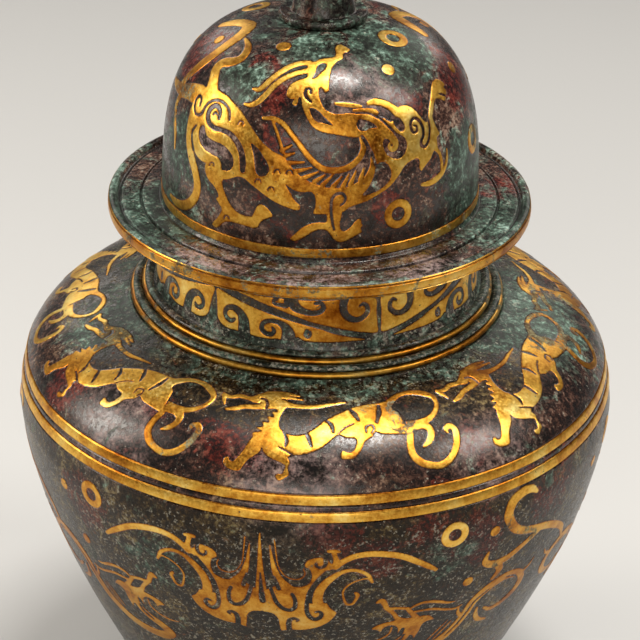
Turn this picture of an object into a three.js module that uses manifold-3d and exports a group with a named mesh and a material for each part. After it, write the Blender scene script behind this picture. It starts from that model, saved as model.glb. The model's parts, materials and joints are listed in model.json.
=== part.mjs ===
// Lidded bronze ginger jar with gold inlay, in millimetres, +Z up, standing on its foot ring at z = 0.
// Azimuths are in degrees, 0 facing the viewer (-Y) and growing towards +X.
import * as THREE from 'three';
import { mergeVertices } from 'three/addons/utils/BufferGeometryUtils.js';
import Module from 'manifold-3d';

const wasm = await Module();
wasm.setup();

// Foot and body of the jar
const FOOT_RADIUS = 58.5;
const FOOT_RING_WIDTH = 9;
const FOOT_LIP_HEIGHT = 3;
const FOOT_HEIGHT = 13.6;
const FOOT_EDGE = 0.8;
const FOOT_RECESS = 6;
const FOOT_RECESS_DRAFT = 2;
const FOOT_COVE = 0.4;
const FOOT_COVE_RISE = 5.8;
const WAIST_RADIUS = 55.75;
const FLOOR_THICKNESS = 5;
const FLOOR_CORNER = 8;
const WALL = 3.6;
const BELLY_RADIUS = 103;
const BELLY_RISE = 135.4;
const BELT_FOOT_INSET = 0.8;
const BELT_FOOT_RISE = 6.6;
const BELT_TOP_INSET = 3;
const SHOULDER_RISE = 20;

// Neck, with its two gold wires on steps and the frieze above them
const STEP_RADIUS = 63.7;
const UPPER_STEP_RADIUS = 59.7;
const STEP_HEIGHT = 2.9;
const CAVETTO_RISE = 2.6;
const CAVETTO_FILLET = 0.8;
const FRIEZE_FOOT_RADIUS = 55;
const FRIEZE_HEIGHT = 15.5;
const NECK_RADIUS = 52.6;
const RIM_RISE = 8.3;

// Lid: brim, dome and the spigot that drops into the neck
const BRIM_RADIUS = 70.8;
const BRIM_THICKNESS = 4.8;
const BRIM_LIP = 4;
const BRIM_LIP_DRAFT = 0.5;
const BRIM_DISH = 0.9;
const DOME_RADIUS = 53;
const DOME_FOOT_HEIGHT = 4.2;
const DOME_RISE = 57.6;
const CROWN_RADIUS = 15;
const LID_WALL = 3;
const SPIGOT_DEPTH = 11;
const SPIGOT_WALL = 2.6;
const SPIGOT_CLEARANCE = 0.8;

// Finial, cast by itself and riveted through the crown of the lid
const COLLAR_RADIUS = 14.6;
const COLLAR_HEIGHT = 2.4;
const COLLAR_EDGE = 0.4;
const STEM_RADIUS = 9.6;
const STEM_HEIGHT = 8;
const STEM_FLARE = 0.8;
const STEM_TOP_RADIUS = 8.2;
const BUD_RADIUS = 15.5;
const BUD_HEIGHT = 37;
const TENON_RADIUS = 4;
const RIVET_RADIUS = 7;
const RIVET_HEIGHT = 2;
const RIVET_EDGE = 1;

// How each curve leaves its foot and reaches its top: shares of the way across and up. A bud's are in radii.
const BELLY_PULLS = [[0.28, 0.3], [0.924, 0.63]];
const SHOULDER_PULLS = [[0.135, 0.52], [0.48, 0.88]];
const DOME_PULLS = [[0, 0.72], [0.3, 0.957]];
const BUD_SWELLS = [[1.26, 0.2], [1.1, 0.74]];
const BELLY_STEPS = 7;
const SHOULDER_STEPS = 5;
const DOME_STEPS = 8;
const BUD_STEPS = 8;

// Gold: sheet thickness, the seat left under it, and the inlaid bands
const SEAT_GAP = 0.3;
const SHEET = 0.6;
const BAND_DEPTH = 0.7;
const BAND_PROUD = 0.25;
const BELT_BAND_WIDTH = 3.5;
const BRIM_BAND_WIDTH = 3;
const DOME_BAND_WIDTH = 3.4;
const WIRE_RADIUS = 1.1;

// Counts and places round the jar
const FULL_TURN = 360;
const ROUND = 30;
const FINIAL_ROUND = 14;
const WIRE_SIDES = 4;
const CELLS = 6;
const FIRST_CELL = -38.3;
const CELL_GAP = 1.2;
const TIGERS = 7;
const FRONT_TIGERS = 3;
const FRONT_PITCH = 53.5;
const FRONT_MIDDLE = 3;
const DRAGONS = 2;
const PALMETTES = 3;
const PALMETTE_AXIS = -9;

// Rings of gold among the figures: outer radius and width of the strip
const RING_RADIUS = 4.9;
const RING_STRIP = 2.7;
const RING_SIDES = 8;

// A figure's seat on its wall, how far its facets may sag into that gap, a unit of the drawings in
// millimetres, and how far along its cell a neck panel's point runs
const FIGURE_GAP = 0.5;
const FIGURE_SAG = 0.42;
const DRAWING_UNIT = 1;
const PANEL_TIP = 0.94;
const PANEL_STEPS = 5;

// The drawings. Each figure is a set of tapered strokes on the unrolled wall, and each point of a stroke is
// azimuth in degrees from the figure's own axis, height up the wall in drawing units, and width of the
// stroke.
const TIGER_PITCH = 53.5;
const TIGER = [
  // lower and upper jaw, then the head with its horn streaming back
  [[-23.3, 25.6, 1.2], [-11, 29.2, 2.4]],
  [[-25.2, 27.6, 0.9], [-22, 31, 2.3], [-13.5, 30.8, 3.5]],
  [[-17, 33, 1.6], [-12, 32, 4.6], [-7, 30, 1.5], [4, 31.6, 0.7]],
  // neck, chest and body
  [[-12, 31, 4], [-12.2, 19, 8], [-7, 15.9, 6.6], [0, 20, 8], [7.5, 25, 11.6], [16, 25.2, 12]],
  // fore legs and hind leg
  [[-13.8, 17, 5], [-17, 8, 2.4], [-19.7, 8.4, 1.2]],
  [[-10.5, 15, 5.4], [-8.4, 6.8, 2.4], [-9.9, 4.5, 1.2]],
  [[6.5, 20, 5], [4, 12.4, 1.8]],
  // haunch with its hooked foot, loop over the rump, and curled tail
  [[13.5, 22, 8], [21, 17.5, 3], [20, 12.8, 2]],
  [[14, 30, 4], [20, 33.4, 1.8], [25.6, 29, 1.8], [18, 20.4, 2.2]],
  [[17, 19, 2.6], [16.6, 8.4, 2.6], [22.6, 6.6, 2.6], [26.3, 14, 2.2], [25.3, 17.6, 1.6]],
];

const DRAGON = [
  // two crests and the face
  [[-31, 49.5, 0.9], [-23, 53.5, 2], [-13, 60.4, 2], [5, 63.3, 2], [17, 68.8, 2.8]],
  [[-33, 44.2, 0.9], [-25.5, 45.8, 1.6], [-17, 55, 2], [-4, 58.8, 3]],
  [[-3, 62, 3.4], [-4.6, 55, 4.4], [-15, 49.5, 1.8]],
  // the two sides of the throat
  [[-7.6, 52.5, 2.4], [-7.6, 46.5, 2.2], [-1, 40.6, 2.4], [9, 39, 3]],
  [[3, 62, 2.6], [-2.6, 51, 3.4], [1, 45, 2.6], [12, 41.6, 5]],
  // breast, down to the belly and up round the shoulder
  [[5, 41, 4.6], [18, 36.6, 8], [26, 27.5, 5.6], [33, 26.4, 6], [40.6, 34, 9], [37, 41.6, 4.4],
    [17.5, 46.6, 1.1]],
  // raised paw
  [[43, 29, 4], [47, 38.4, 2.2], [56, 46.4, 3], [61.5, 45.2, 1.3]],
  // belly, in two bands round a leaf of bronze, and on along the back
  [[19.5, 33, 2], [17.6, 22.4, 2.6], [9, 20.4, 4.6], [-8, 23, 5], [-23, 33.4, 5.6], [-37, 42, 4.4],
    [-55, 41.2, 4.6]],
  [[28, 27, 3], [24, 19.4, 2.4], [7, 18, 4]],
  // whisker from the breast round a pool of bronze
  [[-23, 40.8, 1], [-11, 37, 1.4], [4, 26.8, 1.4], [16, 37, 2]],
  // middle foot
  [[7, 19, 3.4], [5, 9, 2.6], [14.5, 7.2, 1]],
  // tongue of the belly towards the hind leg
  [[-6.8, 14.6, 1.6], [-15, 19, 5.4], [-38, 20, 3]],
  [[-19, 21, 2.6], [-26.6, 26, 1.9], [-31, 37, 4]],
  // haunch, its inner band, and the calf down to the foot
  [[-35, 41, 4.4], [-44, 38.6, 7], [-55, 38.6, 6.4]],
  [[-48, 36, 3], [-43, 31, 2.4], [-33, 29.4, 2.4], [-33, 21, 2]],
  [[-52.6, 36, 2.6], [-51, 26.4, 2], [-41, 19.5, 4.6], [-33, 9.4, 3], [-22, 8, 3.2], [-18.4, 11.6, 1.8]],
  // long hind leg, flame over the haunch, and tail
  [[-56, 38, 4.4], [-56.8, 29, 2.9], [-48.6, 15, 2.6], [-53, 5.6, 2.6], [-66, 2.8, 1.3]],
  [[-49.5, 43, 4], [-56, 51.6, 3.4], [-49, 57, 3.6], [-60, 63.8, 1]],
  [[-54, 42, 4], [-74, 39.4, 3], [-66, 54, 3.2], [-72, 67.4, 3.8], [-88, 64.4, 2.4]],
  [[-68, 39, 3], [-69.6, 29, 2], [-65, 20, 1.2]],
];
const DOME_RINGS = [[28, 10.3], [60, 68], [73, 23]];

// Drawings on the belly are measured down from the belt
const PALMETTE_STEM = [
  [[0, 39, 4], [0, 9, 0.9]],
  [[-7, 40, 3.6], [0, 38, 3.4], [7, 40, 3.6]],
];
const PALMETTE_HALF = [
  // brow, cup and the long curved strip
  [[4, 46.4, 1.8], [7, 42, 3], [7, 30, 2.4], [13.5, 15.8, 2.2], [23, 13.6, 2.4], [32.5, 24, 1]],
  [[6, 44.6, 2.4], [12.9, 38, 0.9]],
  // outer scroll, and the leaves at the root
  [[11.8, 42, 1.8], [9.8, 34, 2.6], [12.5, 22.5, 2.2], [20.2, 24.5, 0.9]],
  [[8.8, 25, 1.8], [2.4, 17, 1.1]],
];
const BELLY_DRAGON = [
  // head, and the neck that runs on into the coiled body
  [[33, 48.4, 1], [26, 46.4, 4], [20.2, 48.2, 1]],
  [[27, 46, 4], [28.2, 54, 4], [30, 62.4, 3], [37, 61, 3.4], [44, 49, 4.4], [51, 42, 4], [54.8, 48, 3.4],
    [49.6, 54, 2.2]],
  // whisker and beard
  [[26.6, 45, 2.4], [33, 44, 1.6], [42, 48.3, 0.9]],
  [[25, 45, 3], [19.9, 31.8, 1.3]],
  [[23, 39.2, 1.8], [38.5, 42.8, 0.9]],
];
const CLOUD = [
  [[-8, 8, 1.4], [-10, 3.6, 2.8], [-12, 11, 3], [3, 26, 3], [8, 36.6, 1.4]],
  [[-2.4, 21.4, 2.6], [-11.4, 28.8, 3.4], [-15.6, 26, 1.8]],
];
const BELLY_RING = [34.8, 9.6];

// A neck panel's scroll, cut through the sheet: its place along and up the panel, and its radius
const SCROLL_ALONG = 8.4;
const SCROLL_UP = 4.6;
const SCROLL_RADIUS = 3.4;
const SCROLL_SIDES = 6;
const SCROLL_START = -75;
const SCROLL_SWEEP = 350;
const SCROLL_CLOSING = 0.6;
const SCROLL_WIDTH = 1.7;
const SCROLL_TIP_WIDTH = 0.9;

// Heights that follow from the sizes above, from the ground up
const WIDEST_Z = FOOT_HEIGHT + BELLY_RISE;
const BELT_FOOT_Z = WIDEST_Z + BELT_FOOT_RISE;
const BELT_FOOT_RADIUS = BELLY_RADIUS - BELT_FOOT_INSET;
const BELT_TOP_RADIUS = BELLY_RADIUS - BELT_TOP_INSET;
const BELT_SLOPE = BELT_FOOT_RADIUS - BELT_TOP_RADIUS;
const BELT_GAP = 2;
const BELT_HEIGHT = 2 * BELT_BAND_WIDTH + BELT_GAP;
const BELT_TOP_Z = BELT_FOOT_Z + BELT_HEIGHT;
const STEP_Z = BELT_TOP_Z + SHOULDER_RISE;
const UPPER_STEP_Z = STEP_Z + STEP_HEIGHT;
const CAVETTO_Z = UPPER_STEP_Z + STEP_HEIGHT;
const FRIEZE_Z = CAVETTO_Z + CAVETTO_RISE;
const FRIEZE_TOP_Z = FRIEZE_Z + FRIEZE_HEIGHT;
const RIM_Z = FRIEZE_TOP_Z + RIM_RISE;
const BRIM_Z = RIM_Z + SEAT_GAP;
const BRIM_TOP_Z = BRIM_Z + BRIM_THICKNESS;
const DOME_Z = BRIM_TOP_Z + DOME_FOOT_HEIGHT;
const CROWN_Z = DOME_Z + DOME_RISE;
const MOUTH_RADIUS = NECK_RADIUS - WALL;
const SPIGOT_RADIUS = MOUTH_RADIUS - SPIGOT_CLEARANCE;
const TENON_HOLE = TENON_RADIUS + SEAT_GAP;

const bronze = { color: 0x3d342c, roughness: 0.42, metalness: 0.9 };
const gold = { color: 0xd8a23c, roughness: 0.34, metalness: 1 };

// Profiles: a point is radius and height, and a wall runs from its foot to its top
const at = (radius, z) => new THREE.Vector2(radius, z);

function curve(start, end, pulls, steps) {
  const [leave, reach] = pulls.map(([across, up]) => (
    at(THREE.MathUtils.lerp(start.x, end.x, across), THREE.MathUtils.lerp(start.y, end.y, up))));
  return new THREE.CubicBezierCurve(start, leave, reach, end).getPoints(steps);
}

// The profile moved out from the axis by a distance, square to its own line at each point
function offset(points, distance) {
  return points.map((point, i) => {
    const before = points[Math.max(i - 1, 0)];
    const after = points[Math.min(i + 1, points.length - 1)];
    const along = after.clone().sub(before).normalize();
    return at(point.x + along.y * distance, point.y - along.x * distance);
  });
}

// An inside needs half as many points as the outside that it follows
const everySecond = (points) => points.filter((_, i) => i % 2 === 0);

const bellyWall = curve(at(WAIST_RADIUS, FOOT_HEIGHT), at(BELLY_RADIUS, WIDEST_Z), BELLY_PULLS, BELLY_STEPS);
const shoulderWall = curve(
  at(BELT_TOP_RADIUS, BELT_TOP_Z), at(STEP_RADIUS, STEP_Z), SHOULDER_PULLS, SHOULDER_STEPS);
const friezeWall = [at(FRIEZE_FOOT_RADIUS, FRIEZE_Z), at(NECK_RADIUS, FRIEZE_TOP_Z)];
const domeWall = curve(at(DOME_RADIUS, DOME_Z), at(CROWN_RADIUS, CROWN_Z), DOME_PULLS, DOME_STEPS);

// A full turn of a profile about the axis, with doubled points merged and empty faces dropped
function revolve(profile, sides = ROUND) {
  const turned = new THREE.LatheGeometry(profile, sides);
  turned.rotateX(Math.PI / 2);
  return closed(turned);
}

function closed(geometry) {
  geometry.deleteAttribute('normal');
  geometry.deleteAttribute('uv');
  const merged = mergeVertices(geometry, 1e-3);
  const corners = merged.index.array;
  const kept = [];
  for (let i = 0; i < corners.length; i += 3) {
    const [a, b, c] = [corners[i], corners[i + 1], corners[i + 2]];
    if (a !== b && b !== c && c !== a) kept.push(a, b, c);
  }
  merged.setIndex(kept);
  return merged;
}

function solid(geometry) {
  const vertProperties = Float32Array.from(geometry.attributes.position.array);
  const triVerts = Uint32Array.from(geometry.index.array);
  return new wasm.Manifold(new wasm.Mesh({ numProp: 3, vertProperties, triVerts }));
}

// A wall to draw on: its line, the lengths along it, its outward directions, and a degree in millimetres at
// its middle, which turns azimuths into a flat drawing
function drawingOn(points) {
  const lengths = [0];
  points.slice(1).forEach((point, i) => lengths.push(lengths[i] + point.distanceTo(points[i])));
  const outward = offset(points, 1).map((moved, i) => moved.sub(points[i]));
  const wall = { points, lengths, outward, field: lengths.at(-1) };
  wall.degree = THREE.MathUtils.degToRad(onWall(wall, wall.field / 2).place.x);
  return wall;
}

function onWall(wall, height) {
  const length = THREE.MathUtils.clamp(height, 0, wall.field);
  let i = 0;
  while (i < wall.points.length - 2 && wall.lengths[i + 1] < length) i += 1;
  const share = (length - wall.lengths[i]) / (wall.lengths[i + 1] - wall.lengths[i]);
  const place = wall.points[i].clone().lerp(wall.points[i + 1], share);
  return { place, outward: wall.outward[i].clone().lerp(wall.outward[i + 1], share) };
}

// Where a point of the flat drawing comes to lie on the jar, as a sheet of gold with the seat's gap under it
function laidOn(wall, { x, y, z }) {
  const { place, outward } = onWall(wall, y);
  const turn = THREE.MathUtils.degToRad(x / wall.degree);
  const out = FIGURE_GAP + SHEET * z;
  const radius = place.x + outward.x * out;
  return new THREE.Vector3(radius * Math.sin(turn), -radius * Math.cos(turn), place.y + outward.y * out);
}

// The two edges of a stroke on the plane, set off to either side of its line by half its width. The line is
// measured as it lies on the wall, where a degree is shorter near the axis.
function strokeEdges(wall, points, isRing = false) {
  const count = points.length;
  const inside = (i) => (isRing ? (i + count) % count : THREE.MathUtils.clamp(i, 0, count - 1));
  return points.map(([azimuth, height, width], i) => {
    const degree = THREE.MathUtils.degToRad(onWall(wall, height).place.x);
    const before = points[inside(i - 1)];
    const after = points[inside(i + 1)];
    const across = (after[0] - before[0]) * degree;
    const up = after[1] - before[1];
    const half = width / 2 / Math.hypot(across, up);
    const aside = (up * half) / degree;
    const rise = across * half;
    return [[azimuth - aside, height + rise], [azimuth + aside, height - rise]];
  });
}

// A flat plate between two edges on the plane, one unit thick
function plate(wall, edges, isRing = false) {
  const corner = ([azimuth, height], z) => [azimuth * wall.degree, height, z];
  const positions = edges.flatMap(([left, right]) => [
    ...corner(left, 0), ...corner(right, 0), ...corner(right, 1), ...corner(left, 1)]);
  const faces = [];
  const last = isRing ? edges.length : edges.length - 1;
  for (let i = 0; i < last; i += 1) {
    const here = 4 * i;
    const next = 4 * ((i + 1) % edges.length);
    for (let side = 0; side < 4; side += 1) {
      const other = (side + 1) % 4;
      faces.push(here + side, next + other, here + other, here + side, next + side, next + other);
    }
  }
  if (!isRing) {
    const end = 4 * last;
    faces.push(0, 1, 2, 0, 2, 3, end, end + 2, end + 1, end, end + 3, end + 2);
  }
  const geometry = new THREE.BufferGeometry();
  geometry.setAttribute('position', new THREE.Float32BufferAttribute(positions, 3));
  geometry.setIndex(faces);
  return solid(geometry);
}

// Bend a flat plate on to its wall. The edge that sags most under the sheet is halved, again and again,
// until none sags too much.
function bend(wall, flat) {
  const { vertProperties, triVerts } = flat.getMesh();
  const points = Array.from({ length: vertProperties.length / 3 }, (_, i) => (
    new THREE.Vector3().fromArray(vertProperties, 3 * i)));
  const faces = Array.from({ length: triVerts.length / 3 }, (_, i) => [...triVerts.slice(3 * i, 3 * i + 3)]);
  const halfway = (from, to) => points[from].clone().lerp(points[to], 0.5);
  const sag = (from, to) => {
    const chord = laidOn(wall, points[from]).lerp(laidOn(wall, points[to]), 0.5);
    return chord.distanceTo(laidOn(wall, halfway(from, to)));
  };
  for (;;) {
    let most = FIGURE_SAG;
    let ends = null;
    faces.forEach((face) => face.forEach((from, k) => {
      const to = face[(k + 1) % 3];
      const drop = from < to ? sag(from, to) : 0;
      if (drop > most) [most, ends] = [drop, [from, to]];
    }));
    if (!ends) break;
    const middle = points.push(halfway(...ends)) - 1;
    faces.filter((face) => ends.every((end) => face.includes(end))).forEach((face) => {
      faces.push(face.map((corner) => (corner === ends[0] ? middle : corner)));
      face[face.indexOf(ends[1])] = middle;
    });
  }
  const geometry = new THREE.BufferGeometry().setFromPoints(points.map((point) => laidOn(wall, point)));
  geometry.setIndex(faces.flat());
  return geometry;
}

// A figure cut from sheet: its strokes joined on the plane at their place round the jar, then bent to the
// wall
function figure(wall, strokes, azimuth, stretch = 1) {
  const placed = strokes.map((points) => points.map(([turn, height, width]) => (
    [turn * stretch + azimuth, height * DRAWING_UNIT, width * DRAWING_UNIT])));
  const plates = placed.map((points) => plate(wall, strokeEdges(wall, points)));
  return bend(wall, plates.reduce((whole, next) => whole.add(next)));
}

function ring(wall, azimuth, height) {
  const degree = THREE.MathUtils.degToRad(onWall(wall, height).place.x);
  const middle = RING_RADIUS - RING_STRIP / 2;
  const points = Array.from({ length: RING_SIDES }, (_, i) => {
    const turn = (2 * Math.PI * i) / RING_SIDES;
    return [azimuth + (middle * Math.cos(turn)) / degree, height + middle * Math.sin(turn), RING_STRIP];
  });
  return bend(wall, plate(wall, strokeEdges(wall, points, true), true));
}

const mirrored = (strokes) => strokes.map((points) => points.map(([turn, ...rest]) => [-turn, ...rest]));

// Bands: a hoop that fills its groove and stands a little proud of the metal round it
function groove(foot, top) {
  return offset([foot, top], -BAND_DEPTH);
}

function hoop(foot, top) {
  const inset = top.clone().sub(foot).setLength(SEAT_GAP);
  const line = [foot.clone().add(inset), top.clone().sub(inset)];
  const inner = offset(line, SEAT_GAP - BAND_DEPTH);
  const outer = offset(line, BAND_PROUD);
  return revolve([...outer, ...inner.reverse(), outer[0]]);
}

const beltLine = (rise) => at(BELT_FOOT_RADIUS - (BELT_SLOPE * rise) / BELT_HEIGHT, BELT_FOOT_Z + rise);
const lowerBelt = [beltLine(0), beltLine(BELT_BAND_WIDTH)];
const upperBelt = [beltLine(BELT_HEIGHT - BELT_BAND_WIDTH), beltLine(BELT_HEIGHT)];
const brimBandFoot = BRIM_Z + (BRIM_THICKNESS - BRIM_BAND_WIDTH) / 2;
const brimBand = [at(BRIM_RADIUS, brimBandFoot), at(BRIM_RADIUS, brimBandFoot + BRIM_BAND_WIDTH)];
const domeBandFoot = DOME_Z - DOME_BAND_WIDTH;
const domeBand = [at(DOME_RADIUS, domeBandFoot), at(DOME_RADIUS, DOME_Z)];

// A gold wire lying in the corner of a step of the neck
function wire(radius, z) {
  const middle = WIRE_RADIUS + SEAT_GAP;
  const section = Array.from({ length: WIRE_SIDES + 1 }, (_, i) => {
    const turn = (2 * Math.PI * i) / WIRE_SIDES;
    return at(radius + middle + WIRE_RADIUS * Math.cos(turn), z + middle + WIRE_RADIUS * Math.sin(turn));
  });
  return revolve(section);
}

// The inside of a body wall, worked out from the outside, and the jar in one casting
function jarBody() {
  const floorZ = FOOT_RECESS + FLOOR_THICKNESS;
  const cavity = everySecond(offset(bellyWall, -WALL));
  const innerShoulder = everySecond(offset(shoulderWall, -WALL));
  const footInner = FOOT_RADIUS - FOOT_RING_WIDTH;
  const outside = [
    at(0, FOOT_RECESS), at(footInner - FOOT_RECESS_DRAFT, FOOT_RECESS), at(footInner, 0),
    at(FOOT_RADIUS - FOOT_EDGE, 0), at(FOOT_RADIUS, FOOT_EDGE), at(FOOT_RADIUS, FOOT_LIP_HEIGHT),
    at(WAIST_RADIUS + FOOT_COVE, FOOT_LIP_HEIGHT + FOOT_COVE_RISE),
    ...bellyWall,
    lowerBelt[0], ...groove(...lowerBelt), lowerBelt[1],
    upperBelt[0], ...groove(...upperBelt), ...shoulderWall,
    at(STEP_RADIUS - 2 * WIRE_RADIUS, STEP_Z), at(STEP_RADIUS - 2 * WIRE_RADIUS, UPPER_STEP_Z),
    at(UPPER_STEP_RADIUS - 2 * WIRE_RADIUS, UPPER_STEP_Z),
    at(UPPER_STEP_RADIUS - 2 * WIRE_RADIUS, CAVETTO_Z),
    at(FRIEZE_FOOT_RADIUS + CAVETTO_FILLET, CAVETTO_Z + CAVETTO_FILLET), ...friezeWall,
    at(NECK_RADIUS, RIM_Z),
  ];
  const inside = [
    at(MOUTH_RADIUS, RIM_Z), at(MOUTH_RADIUS, UPPER_STEP_Z), ...innerShoulder.reverse(),
    at(BELT_FOOT_RADIUS - WALL, BELT_FOOT_Z), ...cavity.reverse(),
    at(cavity.at(-1).x - FLOOR_CORNER, floorZ), at(0, floorZ),
  ];
  return revolve([...outside, ...inside]);
}

// Lid: brim with a raised lip and a gold edge, dome, and spigot, open underneath
function lid() {
  const innerDome = everySecond(offset(domeWall, -LID_WALL));
  const crownInside = CROWN_Z - LID_WALL;
  const spigotInner = SPIGOT_RADIUS - SPIGOT_WALL;
  const outside = [
    at(SPIGOT_RADIUS, BRIM_Z - SPIGOT_DEPTH), at(SPIGOT_RADIUS, BRIM_Z), at(BRIM_RADIUS, BRIM_Z),
    brimBand[0], ...groove(...brimBand), brimBand[1],
    at(BRIM_RADIUS, BRIM_TOP_Z), at(BRIM_RADIUS - BRIM_LIP, BRIM_TOP_Z),
    at(BRIM_RADIUS - BRIM_LIP - BRIM_LIP_DRAFT, BRIM_TOP_Z - BRIM_DISH),
    at(DOME_RADIUS, BRIM_TOP_Z - BRIM_DISH),
    domeBand[0], ...groove(...domeBand), ...domeWall, at(TENON_HOLE, CROWN_Z),
  ];
  const inside = [
    at(TENON_HOLE, crownInside), ...innerDome.reverse(), at(DOME_RADIUS - LID_WALL, BRIM_TOP_Z),
    at(spigotInner, BRIM_Z), at(spigotInner, BRIM_Z - SPIGOT_DEPTH),
  ];
  return revolve([...outside, ...inside, outside[0]]);
}

// Finial: rivet head inside the dome, tenon, collar, stem and bud
function finial() {
  const rivetTop = CROWN_Z - LID_WALL - SEAT_GAP;
  const collarZ = CROWN_Z + SEAT_GAP;
  const stemZ = collarZ + COLLAR_HEIGHT;
  const budZ = stemZ + STEM_HEIGHT;
  const swells = BUD_SWELLS.map(([radii, up]) => at(BUD_RADIUS * radii, budZ + BUD_HEIGHT * up));
  const bud = new THREE.CubicBezierCurve(at(STEM_TOP_RADIUS, budZ), ...swells, at(0, budZ + BUD_HEIGHT));
  return revolve([
    at(0, rivetTop - RIVET_HEIGHT), at(RIVET_RADIUS - RIVET_EDGE, rivetTop - RIVET_HEIGHT),
    at(RIVET_RADIUS, rivetTop - RIVET_HEIGHT + RIVET_EDGE), at(RIVET_RADIUS, rivetTop),
    at(TENON_RADIUS, rivetTop), at(TENON_RADIUS, collarZ),
    at(COLLAR_RADIUS - COLLAR_EDGE, collarZ), at(COLLAR_RADIUS, collarZ + COLLAR_HEIGHT / 2),
    at(COLLAR_RADIUS - COLLAR_EDGE, stemZ), at(STEM_RADIUS + STEM_FLARE, stemZ),
    at(STEM_RADIUS, stemZ + STEM_HEIGHT / 2),
    ...bud.getPoints(BUD_STEPS),
  ], FINIAL_ROUND);
}

// A neck panel: half of a cell of the frieze, parted along the cell's diagonal, with a scroll cut through
// it. It rises from the foot of the frieze or hangs from its top, with its tall side at one end of the cell.
function neckPanel(wall, cellStart, isUpper, isMirrored) {
  const margin = CELL_GAP / 2;
  const length = (FULL_TURN / CELLS) * wall.degree - 2 * margin;
  const tall = wall.field - 2 * margin;
  const isTurned = isUpper !== isMirrored;
  const place = (along, up) => [
    cellStart + (margin + (isTurned ? length - along : along)) / wall.degree,
    isUpper ? wall.field - up : up];
  const edges = Array.from({ length: PANEL_STEPS + 1 }, (_, i) => {
    const along = (length * PANEL_TIP * i) / PANEL_STEPS;
    const pair = [place(along, tall * (1 - along / length)), place(along, margin)];
    return isMirrored ? pair.reverse() : pair;
  });
  const scroll = Array.from({ length: SCROLL_SIDES + 1 }, (_, i) => {
    const share = i / SCROLL_SIDES;
    const turn = THREE.MathUtils.degToRad(SCROLL_START + SCROLL_SWEEP * share);
    const reach = SCROLL_RADIUS * (1 - SCROLL_CLOSING * share);
    const spot = place(SCROLL_ALONG + reach * Math.cos(turn), SCROLL_UP + reach * Math.sin(turn));
    return [...spot, THREE.MathUtils.lerp(SCROLL_WIDTH, SCROLL_TIP_WIDTH, share)];
  });
  return bend(wall, plate(wall, edges).subtract(plate(wall, strokeEdges(wall, scroll))));
}

const jar = new THREE.Group();

function piece(name, geometry, finish) {
  const mesh = new THREE.Mesh(geometry, new THREE.MeshStandardMaterial(finish));
  mesh.name = name;
  jar.add(mesh);
}

piece('jar_body', jarBody(), bronze);
piece('lid', lid(), bronze);
piece('finial', finial(), bronze);
piece('brim_edge_band', hoop(...brimBand), gold);
piece('dome_foot_band', hoop(...domeBand), gold);
piece('neck_wire_upper', wire(UPPER_STEP_RADIUS - 2 * WIRE_RADIUS, UPPER_STEP_Z), gold);
piece('neck_wire_lower', wire(STEP_RADIUS - 2 * WIRE_RADIUS, STEP_Z), gold);
piece('belt_band_upper', hoop(...upperBelt), gold);
piece('belt_band_lower', hoop(...lowerBelt), gold);

const frieze = drawingOn(friezeWall);
for (let cell = 0; cell < CELLS; cell += 1) {
  const start = FIRST_CELL + (FULL_TURN / CELLS) * cell;
  const isMirrored = cell % 2 === 1;
  piece(`neck_panel_${cell + 1}_foot`, neckPanel(frieze, start, false, isMirrored), gold);
  piece(`neck_panel_${cell + 1}_top`, neckPanel(frieze, start, true, isMirrored), gold);
}

const shoulder = drawingOn(shoulderWall);
const backPitch = (FULL_TURN - FRONT_TIGERS * FRONT_PITCH) / (TIGERS - FRONT_TIGERS);
let tigerEdge = FRONT_MIDDLE - (FRONT_TIGERS * FRONT_PITCH) / 2;
for (let i = 0; i < TIGERS; i += 1) {
  const pitch = i < FRONT_TIGERS ? FRONT_PITCH : backPitch;
  const tiger = figure(shoulder, TIGER, tigerEdge + pitch / 2, pitch / TIGER_PITCH);
  piece(`shoulder_tiger_${i + 1}`, tiger, gold);
  tigerEdge += pitch;
}

const dome = drawingOn(domeWall);
for (let i = 0; i < DRAGONS; i += 1) {
  const turn = (FULL_TURN / DRAGONS) * i;
  piece(`dome_dragon_${i + 1}`, figure(dome, DRAGON, turn), gold);
  DOME_RINGS.forEach(([azimuth, height], n) => {
    piece(`dome_ring_${i + 1}_${n + 1}`, ring(dome, turn + azimuth, height * DRAWING_UNIT), gold);
  });
}

const belly = drawingOn([...bellyWall, beltLine(0)]);
const fromBelt = (strokes) => strokes.map((points) => (
  points.map(([turn, down, width]) => [turn, belly.field / DRAWING_UNIT - down, width])));
const palmette = fromBelt([...PALMETTE_STEM, ...PALMETTE_HALF, ...mirrored(PALMETTE_HALF)]);
const dragonRight = fromBelt(BELLY_DRAGON);
const dragonLeft = mirrored(dragonRight);
const cloud = fromBelt(CLOUD);
for (let i = 0; i < PALMETTES; i += 1) {
  const pitch = FULL_TURN / PALMETTES;
  const axis = PALMETTE_AXIS + pitch * i;
  piece(`belly_palmette_${i + 1}`, figure(belly, palmette, axis), gold);
  piece(`belly_dragon_${i + 1}_right`, figure(belly, dragonRight, axis), gold);
  piece(`belly_dragon_${i + 1}_left`, figure(belly, dragonLeft, axis), gold);
  piece(`belly_cloud_${i + 1}`, figure(belly, cloud, axis + pitch / 2), gold);
  [BELLY_RING[0], -BELLY_RING[0]].forEach((side, n) => {
    const height = belly.field - BELLY_RING[1] * DRAWING_UNIT;
    piece(`belly_ring_${i + 1}_${n + 1}`, ring(belly, axis + side, height), gold);
  });
}

export default jar;
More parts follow.
